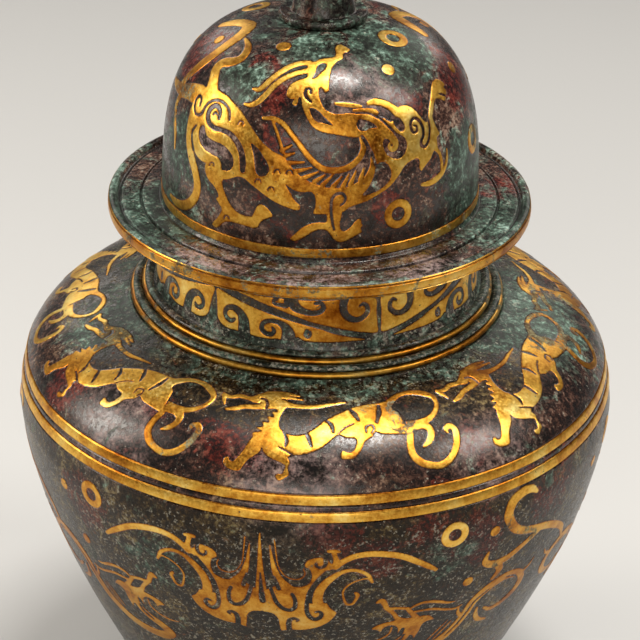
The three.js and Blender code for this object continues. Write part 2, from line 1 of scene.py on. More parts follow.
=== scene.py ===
# %% [markdown]
# # A bronze ginger jar inlaid with gold
#
# This lesson builds the looks of a lidded jar around a fixed frame from CAD. Every size of the jar is in
# millimetres here and is turned into metres when a mesh is made. Only the camera, the lamps and the floor
# are placed in metres. The jar stands on z = 0 with its axis on Z, and an azimuth of 0 faces the camera
# (-Y) and grows towards +X, as in the CAD model.
#
# Three ideas carry the scene. A turned piece is a profile spun about the axis. A gold figure is a drawing
# of tapered strokes, meshed once on the unrolled wall and laid round the jar. And two node groups, one
# for patina and one for worn gold, give all the pieces their surfaces.

# %% The frame
import json
import math

import bmesh
import bpy
import numpy as np
from mathutils import Matrix, Vector

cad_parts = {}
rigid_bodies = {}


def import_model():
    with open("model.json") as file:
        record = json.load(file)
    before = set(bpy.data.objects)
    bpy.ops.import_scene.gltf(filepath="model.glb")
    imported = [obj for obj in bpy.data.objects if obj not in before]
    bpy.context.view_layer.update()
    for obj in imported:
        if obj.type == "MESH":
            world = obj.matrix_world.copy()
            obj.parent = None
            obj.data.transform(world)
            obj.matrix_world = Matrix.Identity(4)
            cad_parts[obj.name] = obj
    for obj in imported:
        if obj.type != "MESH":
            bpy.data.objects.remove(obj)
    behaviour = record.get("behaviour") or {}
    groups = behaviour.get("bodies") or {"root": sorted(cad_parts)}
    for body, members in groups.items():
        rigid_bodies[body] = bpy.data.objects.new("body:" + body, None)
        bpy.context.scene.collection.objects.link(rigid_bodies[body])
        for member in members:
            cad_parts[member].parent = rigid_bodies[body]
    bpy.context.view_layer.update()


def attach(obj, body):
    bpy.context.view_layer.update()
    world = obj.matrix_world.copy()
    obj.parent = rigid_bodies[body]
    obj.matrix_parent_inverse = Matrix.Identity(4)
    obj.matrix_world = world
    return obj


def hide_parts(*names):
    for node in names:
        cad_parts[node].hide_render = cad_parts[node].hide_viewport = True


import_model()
MM = 0.001

# %% [markdown]
# ## Sizes
#
# These are the CAD model's own sizes. The walls that carry the drawings are curves between them, and the
# pulls say how far across and up each curve's two handles lie.

# %% Sizes of the jar, the lid and the finial
FOOT_RADIUS, FOOT_RING, FOOT_LIP, FOOT_HEIGHT, FOOT_RECESS = 58.5, 9, 3, 13.6, 6
WAIST_RADIUS, BELLY_RADIUS, WIDEST_Z, WALL = 55.75, 103, 149, 3.6
BELT_FOOT, BELT_TOP, BELT_BAND = (102.2, 155.6), (100, 164.6), 3.5
STEP_RADIUS, UPPER_STEP_RADIUS, STEP_Z, STEP_HEIGHT = 63.7, 59.7, 184.6, 2.9
FRIEZE_FOOT, FRIEZE_TOP, RIM_Z = (55, 193), (52.6, 208.5), 216.8
BRIM_RADIUS, BRIM_Z, BRIM_TOP_Z, BRIM_LIP, BRIM_DISH, BRIM_BAND = 70.8, 217.1, 221.9, 4, 0.9, 3
DOME_RADIUS, DOME_Z, CROWN_RADIUS, CROWN_Z, LID_WALL, DOME_BAND = 53, 226.1, 15, 283.7, 3, 3.4
SPIGOT_RADIUS, SPIGOT_WALL, SPIGOT_DEPTH = 48.2, 2.6, 11
COLLAR_RADIUS, COLLAR_HEIGHT, STEM_RADIUS, STEM_HEIGHT = 14.6, 2.4, 9.6, 8
BUD_RADIUS, BUD_HEIGHT = 15.5, 37
WIRE_RADIUS, WIRE_SEAT, STEP_INSET = 1.1, 1.4, 2.2
BELLY_PULLS = [(0.28, 0.3), (0.924, 0.63)]
SHOULDER_PULLS = [(0.135, 0.52), (0.48, 0.88)]
DOME_PULLS = [(0, 0.72), (0.3, 0.957)]
FOOT_PULLS = [(0.8, 0.15), (1.05, 0.6)]
print("belly", 2 * BELLY_RADIUS, "mm across, crown", CROWN_Z, "mm high")

# %% [markdown]
# ## Camera
#
# The camera stands where the photograph's did: in front, above, looking down, and tipped by about a
# degree. Its place and lens were fitted to the jar's ellipses. A track-to constraint could aim it, but it
# couldn't tip it, so its matrix is made from its three directions.

# %% Camera
PITCH, YAW, ROLL = math.radians(28.26), math.radians(0.09), math.radians(1.23)
LENS, SENSOR, CAMERA_PLACE = 123.92, 36, (0, -0.67334, 0.53423)
forward = Vector((math.sin(YAW) * math.cos(PITCH), math.cos(YAW) * math.cos(PITCH), -math.sin(PITCH)))
right = forward.cross(Vector((0, 0, 1))).normalized()
up = right.cross(forward)
tilted_right = math.cos(ROLL) * right + math.sin(ROLL) * up
tilted_up = math.cos(ROLL) * up - math.sin(ROLL) * right
camera = bpy.data.objects.new("camera", bpy.data.cameras.new("camera"))
camera.data.lens, camera.data.sensor_width = LENS, SENSOR
camera.matrix_world = Matrix.Translation(CAMERA_PLACE) @ Matrix(
    (tilted_right, tilted_up, -forward)).transposed().to_4x4()
bpy.context.scene.collection.objects.link(camera)
bpy.context.scene.camera = camera
bpy.context.scene.view_settings.view_transform = "Standard"
print("camera at", [round(v, 4) for v in camera.location])

# %% [markdown]
# ## Light
#
# Bronze and gold show what they reflect, so the studio is a set of soft boxes, each placed for the wall
# that mirrors it: the key glints on the dome and the shoulder, the side boxes draw the edges, and the
# wide front box fills the neck under the brim. Together they light the floor so that its colour renders
# about as it is written.

# %% Lights and world
MIDDLE = (0, 0, 0.2)
WORLD_GREY, WORLD_STRENGTH = (0.5, 0.5, 0.5, 1), 0.2
WHITE, CREAM = (1, 0.98, 0.95), (1, 0.96, 0.9)
LAMPS = [  # name, place, width and height, power and tint
    ("key", (0.19, -0.07, 1.32), (0.2, 0.36), 10.5, WHITE),
    ("top", (-0.15, -0.05, 1.3), (0.5, 0.4), 1.2, WHITE),
    ("right", (0.9, -0.24, 1.05), (0.34, 0.46), 6, (1, 0.97, 0.92)),
    ("left", (-1.0, -0.02, 0.68), (0.3, 0.55), 6.5, (1, 0.95, 0.88)),
    ("front", (-0.32, -3.2, 1.24), (2.56, 1.28), 41, CREAM),
    ("behind", (-0.54, 0.94, 0.71), (0.5, 0.4), 1.7, CREAM),
    ("behind", (0.54, 0.94, 0.71), (0.5, 0.4), 1.7, CREAM),
]
for name, place, size, power, tint in LAMPS:
    lamp = bpy.data.lights.new(name, "AREA")
    lamp.shape, lamp.size, lamp.size_y = "RECTANGLE", *size
    lamp.energy, lamp.color = power, tint
    holder = bpy.data.objects.new(name, lamp)
    holder.location = place
    holder.rotation_euler = (Vector(MIDDLE) - Vector(place)).to_track_quat("-Z", "Y").to_euler()
    bpy.context.scene.collection.objects.link(holder)
world = bpy.data.worlds.new("studio")
world.use_nodes = True
world.node_tree.nodes["Background"].inputs["Color"].default_value = WORLD_GREY
world.node_tree.nodes["Background"].inputs["Strength"].default_value = WORLD_STRENGTH
bpy.context.scene.world = world

# %% [markdown]
# ## Helpers for shader nodes
#
# `put` adds a node and sets or links its sockets by name. A number or colour is set, and a socket is
# linked. The others are short names for the nodes that this lesson uses most.


# %% Adding and linking nodes
def join(tree, socket, value):
    """Link a socket to another one, or set it to a value."""
    if isinstance(value, bpy.types.NodeSocket):
        tree.links.new(value, socket)
    else:
        socket.default_value = value


def put(tree, kind, sockets=None, **settings):
    """Add a node of a kind, with its settings and what its sockets get."""
    made = tree.nodes.new("ShaderNode" + kind)
    for key, value in settings.items():
        setattr(made, key, value)
    for key, value in (sockets or {}).items():
        join(tree, made.inputs[key], value)
    return made


def group(name, inputs, outputs):
    """An empty node group with float or vector inputs, and outputs of the kinds that are asked for."""
    tree = bpy.data.node_groups.new(name, "ShaderNodeTree")
    for key, (kind, value) in inputs.items():
        socket = tree.interface.new_socket(key, in_out="INPUT", socket_type="NodeSocket" + kind)
        if value is not None:
            socket.default_value = value
    for key, kind in outputs.items():
        tree.interface.new_socket(key, in_out="OUTPUT", socket_type="NodeSocket" + kind)
    return tree, tree.nodes.new("NodeGroupInput"), tree.nodes.new("NodeGroupOutput")


print("put, join and group ready")


# %% Values and colours
def linear(red, green, blue):
    """A screen colour, 0 to 255, as the linear colour that a shader works in."""
    return tuple((c / 255 / 12.92 if c < 10.3 else ((c / 255 + 0.055) / 1.055) ** 2.4)
                 for c in (red, green, blue)) + (1,)


def noise(tree, vector, size, detail=4, roughness=0.6, distortion=0, offset=0):
    """Noise whose lumps are about `size` millimetres across. An offset takes it from another place."""
    moved = put(tree, "Mapping", {"Vector": vector, "Location": (offset, offset * 0.7, -offset)})
    return put(tree, "TexNoise", {"Vector": moved.outputs[0], "Scale": 1000 / size, "Detail": detail,
                                  "Roughness": roughness, "Distortion": distortion}).outputs["Fac"]


def step(tree, value, low, high, start=0, end=1):
    """A smooth rise from start to end while the value goes from low to high."""
    return put(tree, "MapRange", {"Value": value, "From Min": low, "From Max": high, "To Min": start,
                                  "To Max": end}, interpolation_type="SMOOTHSTEP").outputs[0]


def maths(tree, operation, first, second=0.0):
    """Two values added, multiplied or the like."""
    return put(tree, "Math", {0: first, 1: second}, operation=operation).outputs[0]


def mix(tree, factor, first, second, blend="MIX"):
    """Two colours mixed, with all of the second one where the factor is 1."""
    made = put(tree, "Mix", data_type="RGBA", blend_type=blend)
    for index, value in ((0, factor), (6, first), (7, second)):
        join(tree, made.inputs[index], value)
    return made.outputs[2]


def ramp(tree, value, stops):
    """A colour ramp: each stop is a place from 0 to 1 and a screen colour."""
    made = put(tree, "ValToRGB", {"Fac": value})
    elements = made.color_ramp.elements
    while len(elements) < len(stops):
        elements.new(0.5)
    for element, (place, colour) in zip(elements, stops):
        element.position, element.color = place, linear(*colour)
    return made.outputs["Color"]


def blend(tree, *parts):
    """A weighted sum of values."""
    total = None
    for value, weight in parts:
        share = maths(tree, "MULTIPLY", value, weight)
        total = share if total is None else maths(tree, "ADD", total, share)
    return total


def spread(tree, edge, start, amount, gain, soft):
    """A crust's mask: the edge noise has to pass a start that the amount brings down."""
    limit = maths(tree, "SUBTRACT", start, maths(tree, "MULTIPLY", amount, gain))
    return step(tree, maths(tree, "SUBTRACT", edge, limit), -soft, soft)


print("node helpers ready")

# %% [markdown]
# ## Patina
#
# Old bronze is a stack of crusts. A black to brown skin lies under everything, finely speckled with pale
# grains. Red copper oxide shows through in patches, green crust gathers in the corners and where earth lay
# against the wall, and pale dust sits on top. Over them the group can lay a painted sheen, a lilac-grey
# tint that stands in for the soft reflection of the lamps on waxed patina, and a darkening towards black,
# which the materials lay as painted shade in grooves and under the brim. A painted picture could show
# that, but noise at several sizes gives it on every side of the jar. The group puts out the colour,
# roughness and height of the stack. Its inputs say how far each crust has spread, how olive the pale
# grains are, how strong the painted sheen is and how far a place is darkened.

# %% Colours of the patina
LILAC_SKIN = [(0.43, (9, 5, 4)), (0.49, (33, 19, 15)), (0.54, (70, 45, 36)), (0.61, (142, 114, 96))]
EARTHY_SKIN = [(0.43, (7, 5, 3)), (0.49, (30, 21, 11)), (0.54, (64, 48, 26)), (0.61, (138, 120, 76))]
RED_OXIDE = [(0.42, (18, 5, 4)), (0.5, (70, 14, 10)), (0.6, (120, 42, 30))]
GREEN_CRUST = [(0.42, (10, 16, 12)), (0.48, (34, 46, 37)), (0.54, (78, 104, 90)), (0.62, (158, 192, 176))]
# a lilac grey for the painted sheen, pale dust, and the black of the darkening, which is painted shade in
# grooves and under the brim
SHEEN_GREY, PALE_DUST, DARKENING_BLACK = (168, 146, 142), (164, 158, 142), (9, 7, 5)
PATINA_INPUTS = {"Vector": ("Vector", None), "Green": ("Float", 0.3), "Red": ("Float", 0.3),
                 "Dust": ("Float", 0.3), "Olive": ("Float", 0.0), "Darkening": ("Float", 0.0),
                 "PaintedSheen": ("Float", 0.0)}
print("patina inputs:", list(PATINA_INPUTS))


# %% Patina group
def patina_group():
    tree, given, result = group("patina", PATINA_INPUTS,
                                {"Color": "Color", "Roughness": "Float", "Height": "Float"})
    place, green_amount, red_amount, dust_amount, olive, darkening, painted_sheen = given.outputs[:7]
    patches = noise(tree, place, size=26, detail=5, roughness=0.62, distortion=0.5)
    mottle = noise(tree, place, size=6, detail=6, roughness=0.7, distortion=0.7, offset=3.1)
    speckle = noise(tree, place, size=1.5, detail=4, roughness=0.75, offset=7.7)
    flecks = noise(tree, place, size=1.1, detail=2, roughness=0.6, offset=1.3)
    red_edge = noise(tree, place, size=15, detail=6, roughness=0.72, distortion=0.8, offset=11.9)
    green_edge = noise(tree, place, size=10, detail=7, roughness=0.74, distortion=1.0, offset=5.3)
    # the skin, between lilac and olive grains
    tone = blend(tree, (speckle, 0.4), (mottle, 0.36), (patches, 0.24))
    olive_here = maths(tree, "ADD", olive, maths(tree, "SUBTRACT", patches, 0.5))
    skin = mix(tree, step(tree, olive_here, 0.3, 0.7), ramp(tree, tone, LILAC_SKIN),
               ramp(tree, tone, EARTHY_SKIN))
    # red oxide, and the painted sheen over it
    red_mask = spread(tree, blend(tree, (red_edge, 0.7), (speckle, 0.3)), start=0.68,
                      amount=red_amount, gain=0.3, soft=0.05)
    red = ramp(tree, blend(tree, (speckle, 0.6), (mottle, 0.4)), RED_OXIDE)
    skin = mix(tree, maths(tree, "MULTIPLY", red_mask, 0.8), skin, red)
    sheen_patches = step(tree, blend(tree, (mottle, 0.6), (speckle, 0.4)), 0.42, 0.6)
    skin = mix(tree, maths(tree, "MULTIPLY", sheen_patches, painted_sheen), skin, linear(*SHEEN_GREY))
    # green crust, dust, and the darkening that serves as painted shade
    green_mask = spread(tree, blend(tree, (green_edge, 0.76), (speckle, 0.24)), start=0.68,
                        amount=green_amount, gain=0.3, soft=0.06)
    green = ramp(tree, blend(tree, (speckle, 0.4), (mottle, 0.4), (patches, 0.2)), GREEN_CRUST)
    skin = mix(tree, maths(tree, "MULTIPLY", green_mask, 0.85), skin, green)
    dust_mask = spread(tree, blend(tree, (flecks, 0.75), (mottle, 0.25)), start=0.72,
                       amount=dust_amount, gain=0.22, soft=0.03)
    skin = mix(tree, maths(tree, "MULTIPLY", dust_mask, 0.75), skin, linear(*PALE_DUST))
    skin = mix(tree, darkening, skin, linear(*DARKENING_BLACK))
    rough = maths(tree, "ADD", step(tree, speckle, 0.35, 0.65, start=0.17, end=0.36),
                  maths(tree, "MULTIPLY", maths(tree, "MAXIMUM", green_mask, dust_mask), 0.14))
    height = blend(tree, (speckle, 1.0), (mottle, 0.5), (green_mask, 0.35), (dust_mask, 0.25))
    for key, value in (("Color", skin), ("Roughness", rough), ("Height", height)):
        join(tree, result.inputs[key], value)
    return tree


patina = patina_group()
print("patina group:", len(patina.nodes), "nodes")

# %% [markdown]
# ## Worn gold
#
# The gold is thin sheet hammered into the bronze. It is bright where hands have rubbed it, brown and dull
# where nobody has, pitted all over, and darker along its edges, where each mesh says how far in a point
# is. In places the bronze's crust has grown over it, and an input lays painted shade on it as a brown
# tint. Plain yellow metal would look new, so the group gives the colour, the metal's share, the
# roughness and the height of all that.

# %% Colours of the gold
GOLD_TONES = [(0.38, (140, 80, 22)), (0.46, (202, 138, 46)), (0.54, (240, 188, 80)),
              (0.64, (255, 226, 136))]
# the brown tint of painted shade, the darker edge and the pits
GOLD_SHADE_TINT, GOLD_EDGE, GOLD_PIT = (170, 132, 86), (196, 150, 104), (62, 40, 24)
CRUST_TONES = [(0.4, (20, 16, 10)), (0.5, (66, 58, 38)), (0.6, (128, 134, 108))]
GOLD_INPUTS = {"Vector": ("Vector", None), "Depth": ("Float", 2.0), "PaintedShade": ("Float", 0.0),
               "Crust": ("Float", 0.0)}
print("gold inputs:", list(GOLD_INPUTS))


# %% Gold group
def gold_group():
    tree, given, result = group("worn_gold", GOLD_INPUTS, {"Color": "Color", "Metal": "Float",
                                                           "Roughness": "Float", "Height": "Float"})
    place, depth, painted_shade, crust_amount = given.outputs[:4]
    clouds = noise(tree, place, size=30, detail=4, roughness=0.6, distortion=0.4, offset=2.2)
    mottle = noise(tree, place, size=5, detail=5, roughness=0.66, distortion=0.5, offset=8.1)
    grain = noise(tree, place, size=0.9, detail=4, roughness=0.7, offset=4.6)
    pits = noise(tree, place, size=1.1, detail=3, roughness=0.62, offset=9.4)
    crust_edge = noise(tree, place, size=9, detail=6, roughness=0.72, distortion=0.8, offset=13.7)
    # the metal, the painted shade on it and its darker edge
    tone = maths(tree, "ADD", maths(tree, "MULTIPLY", clouds, 0.5),
                 blend(tree, (mottle, 0.3), (grain, 0.2)))
    colour = ramp(tree, tone, GOLD_TONES)
    colour = mix(tree, painted_shade, colour, mix(tree, 1, colour, linear(*GOLD_SHADE_TINT), "MULTIPLY"))
    inside = step(tree, maths(tree, "ADD", depth, maths(tree, "MULTIPLY", grain, 0.5)), 0.1, 0.7)
    colour = mix(tree, inside, mix(tree, 1, colour, linear(*GOLD_EDGE), "MULTIPLY"), colour)
    # pits, and the crust that has grown over the gold
    pit_mask = step(tree, maths(tree, "ADD", pits, maths(tree, "MULTIPLY", mottle, 0.25)), 0.79, 0.86)
    colour = mix(tree, pit_mask, colour, linear(*GOLD_PIT))
    crust_mask = spread(tree, blend(tree, (crust_edge, 0.7), (grain, 0.3)), start=0.67,
                        amount=crust_amount, gain=0.3, soft=0.03)
    crust = ramp(tree, blend(tree, (grain, 0.6), (mottle, 0.4)), CRUST_TONES)
    colour = mix(tree, maths(tree, "MULTIPLY", crust_mask, 0.9), colour, crust)
    dull = maths(tree, "MAXIMUM", pit_mask, crust_mask)
    rough = maths(tree, "ADD", step(tree, grain, 0.3, 0.7, start=0.3, end=0.48),
                  maths(tree, "MULTIPLY", dull, 0.25))
    height = maths(tree, "SUBTRACT", blend(tree, (grain, 0.25), (mottle, 0.7)),
                   maths(tree, "MULTIPLY", dull, 0.4))
    metal = maths(tree, "SUBTRACT", 1.0, maths(tree, "MULTIPLY", dull, 0.7))
    for key, value in (("Color", colour), ("Metal", metal), ("Roughness", rough), ("Height", height)):
        join(tree, result.inputs[key], value)
    return tree


worn_gold = gold_group()
print("gold group:", len(worn_gold.nodes), "nodes")

# %% [markdown]
# ## Where the crusts lie
#
# The bronze of the jar and of the lid is one metal, but green lies thick at the sides of the shoulder, red
# glows on the belly, painted shade darkens the grooves and painted sheen lies where the lamps glint. Weight
# painting could place them, but then the paint would have to be kept with the mesh. Here each is placed
# by what a maker would say: a zone of heights, a ring at a distance from the axis, or a round spot. Each
# adds its amount to the group's input, and the group's own noise breaks up its border.


# %% Zones and spots
def start_material(name, shared):
    """A material with its Principled shader, the place on the object and a shared group."""
    material = bpy.data.materials.new(name)
    material.use_nodes = True
    tree = material.node_tree
    shader = tree.nodes["Principled BSDF"]
    place = put(tree, "TexCoord").outputs["Object"]
    crust = put(tree, "Group", node_tree=shared)
    join(tree, crust.inputs["Vector"], place)
    return material, tree, shader, place, crust


def finish_bump(tree, shader, height, strength, reach):
    """Give the shader a bump whose reach is in millimetres."""
    bump = put(tree, "Bump", {"Height": height, "Strength": strength, "Distance": reach * MM})
    join(tree, shader.inputs["Normal"], bump.outputs[0])


def zone(tree, value, low, rise, fall, high):
    """1 while the value is between rise and fall, 0 below low and above high, all in millimetres."""
    return maths(tree, "MULTIPLY", step(tree, value, low * MM, rise * MM),
                 step(tree, value, fall * MM, high * MM, 1, 0))


def spot_mask(tree, place, azimuth, radius, z, size, core=0.25):
    """1 round a spot on the wall, falling to 0 at a distance of `size` from it."""
    turn = math.radians(azimuth)
    spot = Vector((radius * math.sin(turn), -radius * math.cos(turn), z)) * MM
    away = put(tree, "VectorMath", {0: place, 1: spot}, operation="DISTANCE").outputs["Value"]
    return step(tree, away, core * size * MM, size * MM, 1, 0)


print("zones and stains ready")

# %% [markdown]
# ## Bronze
#
# A thin coat of wax, rubbed in by hand, gives the shoulder and the lid their soft glare. It is thick
# where the skin is smooth, thin where the crust is rough, and thinner towards the back. A lower specular
# level would dull the metal everywhere, so the wax is the shader's coat, and its weight follows the
# roughness.

# %% Bronze material
WAXED_HEIGHTS = (150, 164, 400, 410)
WAX_ON_SMOOTH, WAX_ON_ROUGH, SMOOTH, ROUGH = 0.95, 0.15, 0.2, 0.36
RUBBED_FRONT_Y, RUBBED_BACK_Y, BACK_SHARE = -60, 30, 0.3
WAX_ROUGHNESS, WAX_IOR, SPECULAR_LEVEL, SPECULAR_TINT = 0.25, 1.45, 0.26, (1, 0.88, 0.76, 1)
BRONZE_BUMP, BRONZE_BUMP_REACH = 0.38, 0.4


def bronze(name, levels, areas=(), spots=(), rings=()):
    """Patinated bronze: a level of each crust, of painted sheen and of darkening, and what a zone of
    heights, a spot of stain or sheen, or a zone of distances from the axis adds to it."""
    material, tree, shader, place, crust = start_material(name, patina)
    x, y, z = put(tree, "SeparateXYZ", {0: place}).outputs
    squares = maths(tree, "ADD", maths(tree, "MULTIPLY", x, x), maths(tree, "MULTIPLY", y, y))
    from_axis = maths(tree, "POWER", squares, 0.5)
    for key, level in levels.items():
        parts = [(zone(tree, z, *heights), amount) for kind, amount, heights in areas if kind == key]
        parts += [(zone(tree, from_axis, *reach), amount) for kind, amount, reach in rings if kind == key]
        parts += [(spot_mask(tree, place, *spot), amount) for kind, amount, spot in spots if kind == key]
        join(tree, crust.inputs[key], maths(tree, "ADD", blend(tree, *parts), level) if parts else level)
    join(tree, shader.inputs["Base Color"], crust.outputs["Color"])
    join(tree, shader.inputs["Roughness"], crust.outputs["Roughness"])
    finish_bump(tree, shader, crust.outputs["Height"], BRONZE_BUMP, BRONZE_BUMP_REACH)
    waxed = step(tree, crust.outputs["Roughness"], SMOOTH, ROUGH, WAX_ON_SMOOTH, WAX_ON_ROUGH)
    rubbed = maths(tree, "MULTIPLY", waxed,
                   step(tree, y, RUBBED_FRONT_Y * MM, RUBBED_BACK_Y * MM, 1, BACK_SHARE))
    join(tree, shader.inputs["Coat Weight"], maths(tree, "MULTIPLY", zone(tree, z, *WAXED_HEIGHTS), rubbed))
    shader.inputs["Coat Roughness"].default_value = WAX_ROUGHNESS
    shader.inputs["Coat IOR"].default_value = WAX_IOR
    shader.inputs["Specular IOR Level"].default_value = SPECULAR_LEVEL
    shader.inputs["Specular Tint"].default_value = SPECULAR_TINT
    return material


print("bronze ready")

# %% Bronze of the jar
BELLY_ZONE = (-5, 0, 150, 158)
# a zone is four heights: where it starts to rise, is full, starts to fall and ends
JAR_ZONES = [
    # darkening all over the belly, and painted shade on the top of the neck under the brim
    ("Darkening", 0.3, BELLY_ZONE), ("Darkening", 0.6, (207, 211, 217, 220)),
    ("Olive", 0.6, BELLY_ZONE), ("Olive", 0.55, (176, 181, 215, 220)),
    ("Green", 0.4, (184, 189, 196, 203)), ("Green", 0.2, (-5, 0, 20, 60)),
    ("Dust", 0.35, (185, 188, 194, 198)), ("Dust", 0.28, (-5, 0, 146, 158)),
    # painted sheen on the steps and beads of the neck
    ("PaintedSheen", 0.3, (184, 188, 195, 199)),
]
# a stain, or a spot of painted sheen, is an azimuth, a radius, a height and a size
JAR_STAINS_AND_SHEEN = [
    ("Green", 0.7, (78, 76, 180, 34)), ("Green", 0.45, (-72, 74, 181, 26)),
    ("Green", 0.4, (25, 101, 138, 16)), ("Green", 0.45, (-30, 98, 132, 20)),
    ("Green", 0.7, (160, 84, 176, 40)), ("Red", 0.6, (3, 103, 151, 14)), ("Red", 0.5, (22, 103, 148, 14)),
    ("Red", 0.5, (-17, 92, 172, 14)), ("Red", 0.4, (33, 92, 172, 12)), ("Red", 0.5, (50, 100, 150, 20)),
    ("Red", 1.0, (31, 102, 141, 16)), ("Red", 0.9, (-47, 101, 141, 15)), ("Red", 0.8, (12, 102, 140, 12)),
    ("Red", 0.5, (200, 100, 130, 30)), ("Red", 0.75, (-60, 94, 171, 15)),
    # the last three spots are painted sheen where the lamps glint on the shoulder
    ("Red", 0.6, (-36, 84, 176, 10)), ("PaintedSheen", 0.4, (-42, 96, 168, 24)),
    ("PaintedSheen", 0.4, (-4, 98, 166, 26)), ("PaintedSheen", 0.3, (36, 96, 168, 20)),
]
JAR_RINGS = [("Green", 0.3, (60, 64, 68, 78)), ("Dust", 0.2, (60, 64, 68, 76))]
JAR_LEVELS = {"Green": 0.24, "Red": 0.22, "Dust": 0.3, "Olive": 0.3, "Darkening": 0.0, "PaintedSheen": 0.0}
jar_bronze = bronze("jar_bronze", JAR_LEVELS, JAR_ZONES, JAR_STAINS_AND_SHEEN, JAR_RINGS)
print("jar bronze:", len(jar_bronze.node_tree.nodes), "nodes")

# %% Bronze of the lid and of the grooves
BRIM_ZONE = (212, 216, 224, 228)
LID_ZONES = [("Green", 0.12, BRIM_ZONE), ("Green", 0.2, (278, 282, 340, 345)), ("Dust", 0.1, BRIM_ZONE)]
LID_STAINS_AND_SHEEN = [
    ("Red", 0.8, (-22, 38, 277, 17)), ("Red", 0.9, (70, 47, 272, 18)), ("Red", 0.75, (-17, 52, 259, 10)),
    ("Red", 0.7, (38, 47, 271, 10)), ("Red", 0.7, (-75, 40, 276, 16)), ("Red", 0.5, (24, 53, 238, 9)),
    ("Red", 0.7, (220, 48, 260, 24)), ("Red", 0.5, (95, 66, 222, 22)), ("Red", 0.5, (-14, 68, 222, 9)),
    ("Green", 0.75, (66, 53, 240, 24)), ("Green", 0.6, (-36, 42, 275, 13)),
    ("Green", 0.7, (48, 30, 282, 22)), ("Green", 0.6, (-62, 52, 250, 14)),
    ("Green", 0.5, (-10, 28, 282, 16)), ("Green", 0.7, (170, 50, 262, 30)),
    ("Green", 0.6, (-70, 66, 222, 40)), ("Green", 0.5, (75, 66, 222, 30)),
    # painted sheen: a lilac-grey reflection across the brim's front and on the dome
    ("PaintedSheen", 0.8, (-34, 74, 216, 25)), ("PaintedSheen", 0.8, (-2, 74, 216, 25)),
    ("PaintedSheen", 0.8, (30, 74, 216, 25)), ("PaintedSheen", 0.7, (-44, 50, 258, 13)),
    ("PaintedSheen", 0.4, (20, 40, 276, 20)),
]
# rings of painted shade darkening the brim's two grooves and the dome's foot, and a ring of green on the
# brim's lip
LID_RINGS = [("Darkening", 0.9, (66.4, 66.9, 67.5, 68)), ("Darkening", 0.5, (59.3, 59.6, 60.3, 60.6)),
             ("Darkening", 0.7, (53.4, 53.6, 54.2, 54.6)), ("Green", 0.25, (67.8, 68.2, 71, 72))]
LID_LEVELS = {"Green": 0.26, "Red": 0.3, "Dust": 0.28, "Olive": 0.0, "Darkening": 0.0, "PaintedSheen": 0.0}
lid_bronze = bronze("lid_bronze", LID_LEVELS, LID_ZONES, LID_STAINS_AND_SHEEN, LID_RINGS)
groove_bronze = bronze("groove_bronze", {"Green": 0.15, "Red": 0.2, "Dust": 0.2, "Olive": 0.2},
                       [("Dust", 0.35, BELLY_ZONE), ("Dust", 0.15, (190, 194, 210, 214))])
print("lid bronze:", len(lid_bronze.node_tree.nodes), "nodes")

# %% [markdown]
# ## Gold
#
# All the gold on the jar is one material. Painted shade dulls it on the belly, on the wires and round the
# brim, and a painted dark reflection browns the middle of the frieze, so this painted shade is placed in
# the same way as the crusts. A spot that is grown over has some of the bronze's crust on its gold.

# %% Gold material
# painted shade on the gold: below the belt, on the wires and round the brim, and a painted dark reflection
# in the middle of the frieze
BELLY_FADES = (120, 156)
BELLY_SHADE, BAND_SHADE, FRIEZE_SHADE = 0.55, 0.4, 0.75
WIRE_HEIGHTS, BRIM_HEIGHTS = (184, 184.8, 190, 192), (215, 216.5, 221.8, 222.6)
LID_BANDS = (215, 216.5, 226, 227)
FRIEZE_SHADE_PLACE = (9, 54, 200, 17)
GROWN_OVER = [
    (0.55, (82, 74, 180, 34)), (0.5, (-62, 72, 181, 22)), (0.4, (-24, 92, 172, 16)),
    (0.35, (20, 80, 178, 14)), (0.5, (78, 48, 258, 22)), (0.4, (-70, 46, 262, 18)),
    (0.4, (40, 96, 136, 22)), (0.4, (170, 80, 178, 40)),
]
CRUST_LEVEL, BAND_CRUST = 0.14, 0.2
GOLD_BUMP, GOLD_BUMP_REACH = 0.25, 0.2


def gilt(name):
    """Worn gold, with its painted shade and what has grown over it."""
    material, tree, shader, place, crust = start_material(name, worn_gold)
    depth = put(tree, "Attribute", attribute_name="depth")
    join(tree, crust.inputs["Depth"], depth.outputs["Fac"])
    z = put(tree, "SeparateXYZ", {0: place}).outputs[2]
    below = step(tree, z, BELLY_FADES[0] * MM, BELLY_FADES[1] * MM, 1, 0)
    # painted shade: below the belt, on the wires, round the brim and in the middle of the frieze
    join(tree, crust.inputs["PaintedShade"], blend(
        tree, (below, BELLY_SHADE), (zone(tree, z, *WIRE_HEIGHTS), BAND_SHADE),
        (zone(tree, z, *BRIM_HEIGHTS), BAND_SHADE), (spot_mask(tree, place, *FRIEZE_SHADE_PLACE), FRIEZE_SHADE)))
    grown = [(spot_mask(tree, place, *spot), amount) for amount, spot in GROWN_OVER]
    grown.append((zone(tree, z, *LID_BANDS), BAND_CRUST))
    join(tree, crust.inputs["Crust"], maths(tree, "ADD", blend(tree, *grown), CRUST_LEVEL))
    for socket, key in (("Base Color", "Color"), ("Metallic", "Metal"), ("Roughness", "Roughness")):
        join(tree, shader.inputs[socket], crust.outputs[key])
    finish_bump(tree, shader, crust.outputs["Height"], GOLD_BUMP, GOLD_BUMP_REACH)
    return material


gold = gilt("gold")
print("gold:", len(gold.node_tree.nodes), "nodes")

# %% [markdown]
# ## Floor
#
# The jar stands on a wide sheet of warm grey paper. A curved backdrop could hide the horizon, but the
# camera looks down, so a flat sheet fills the picture behind the jar.

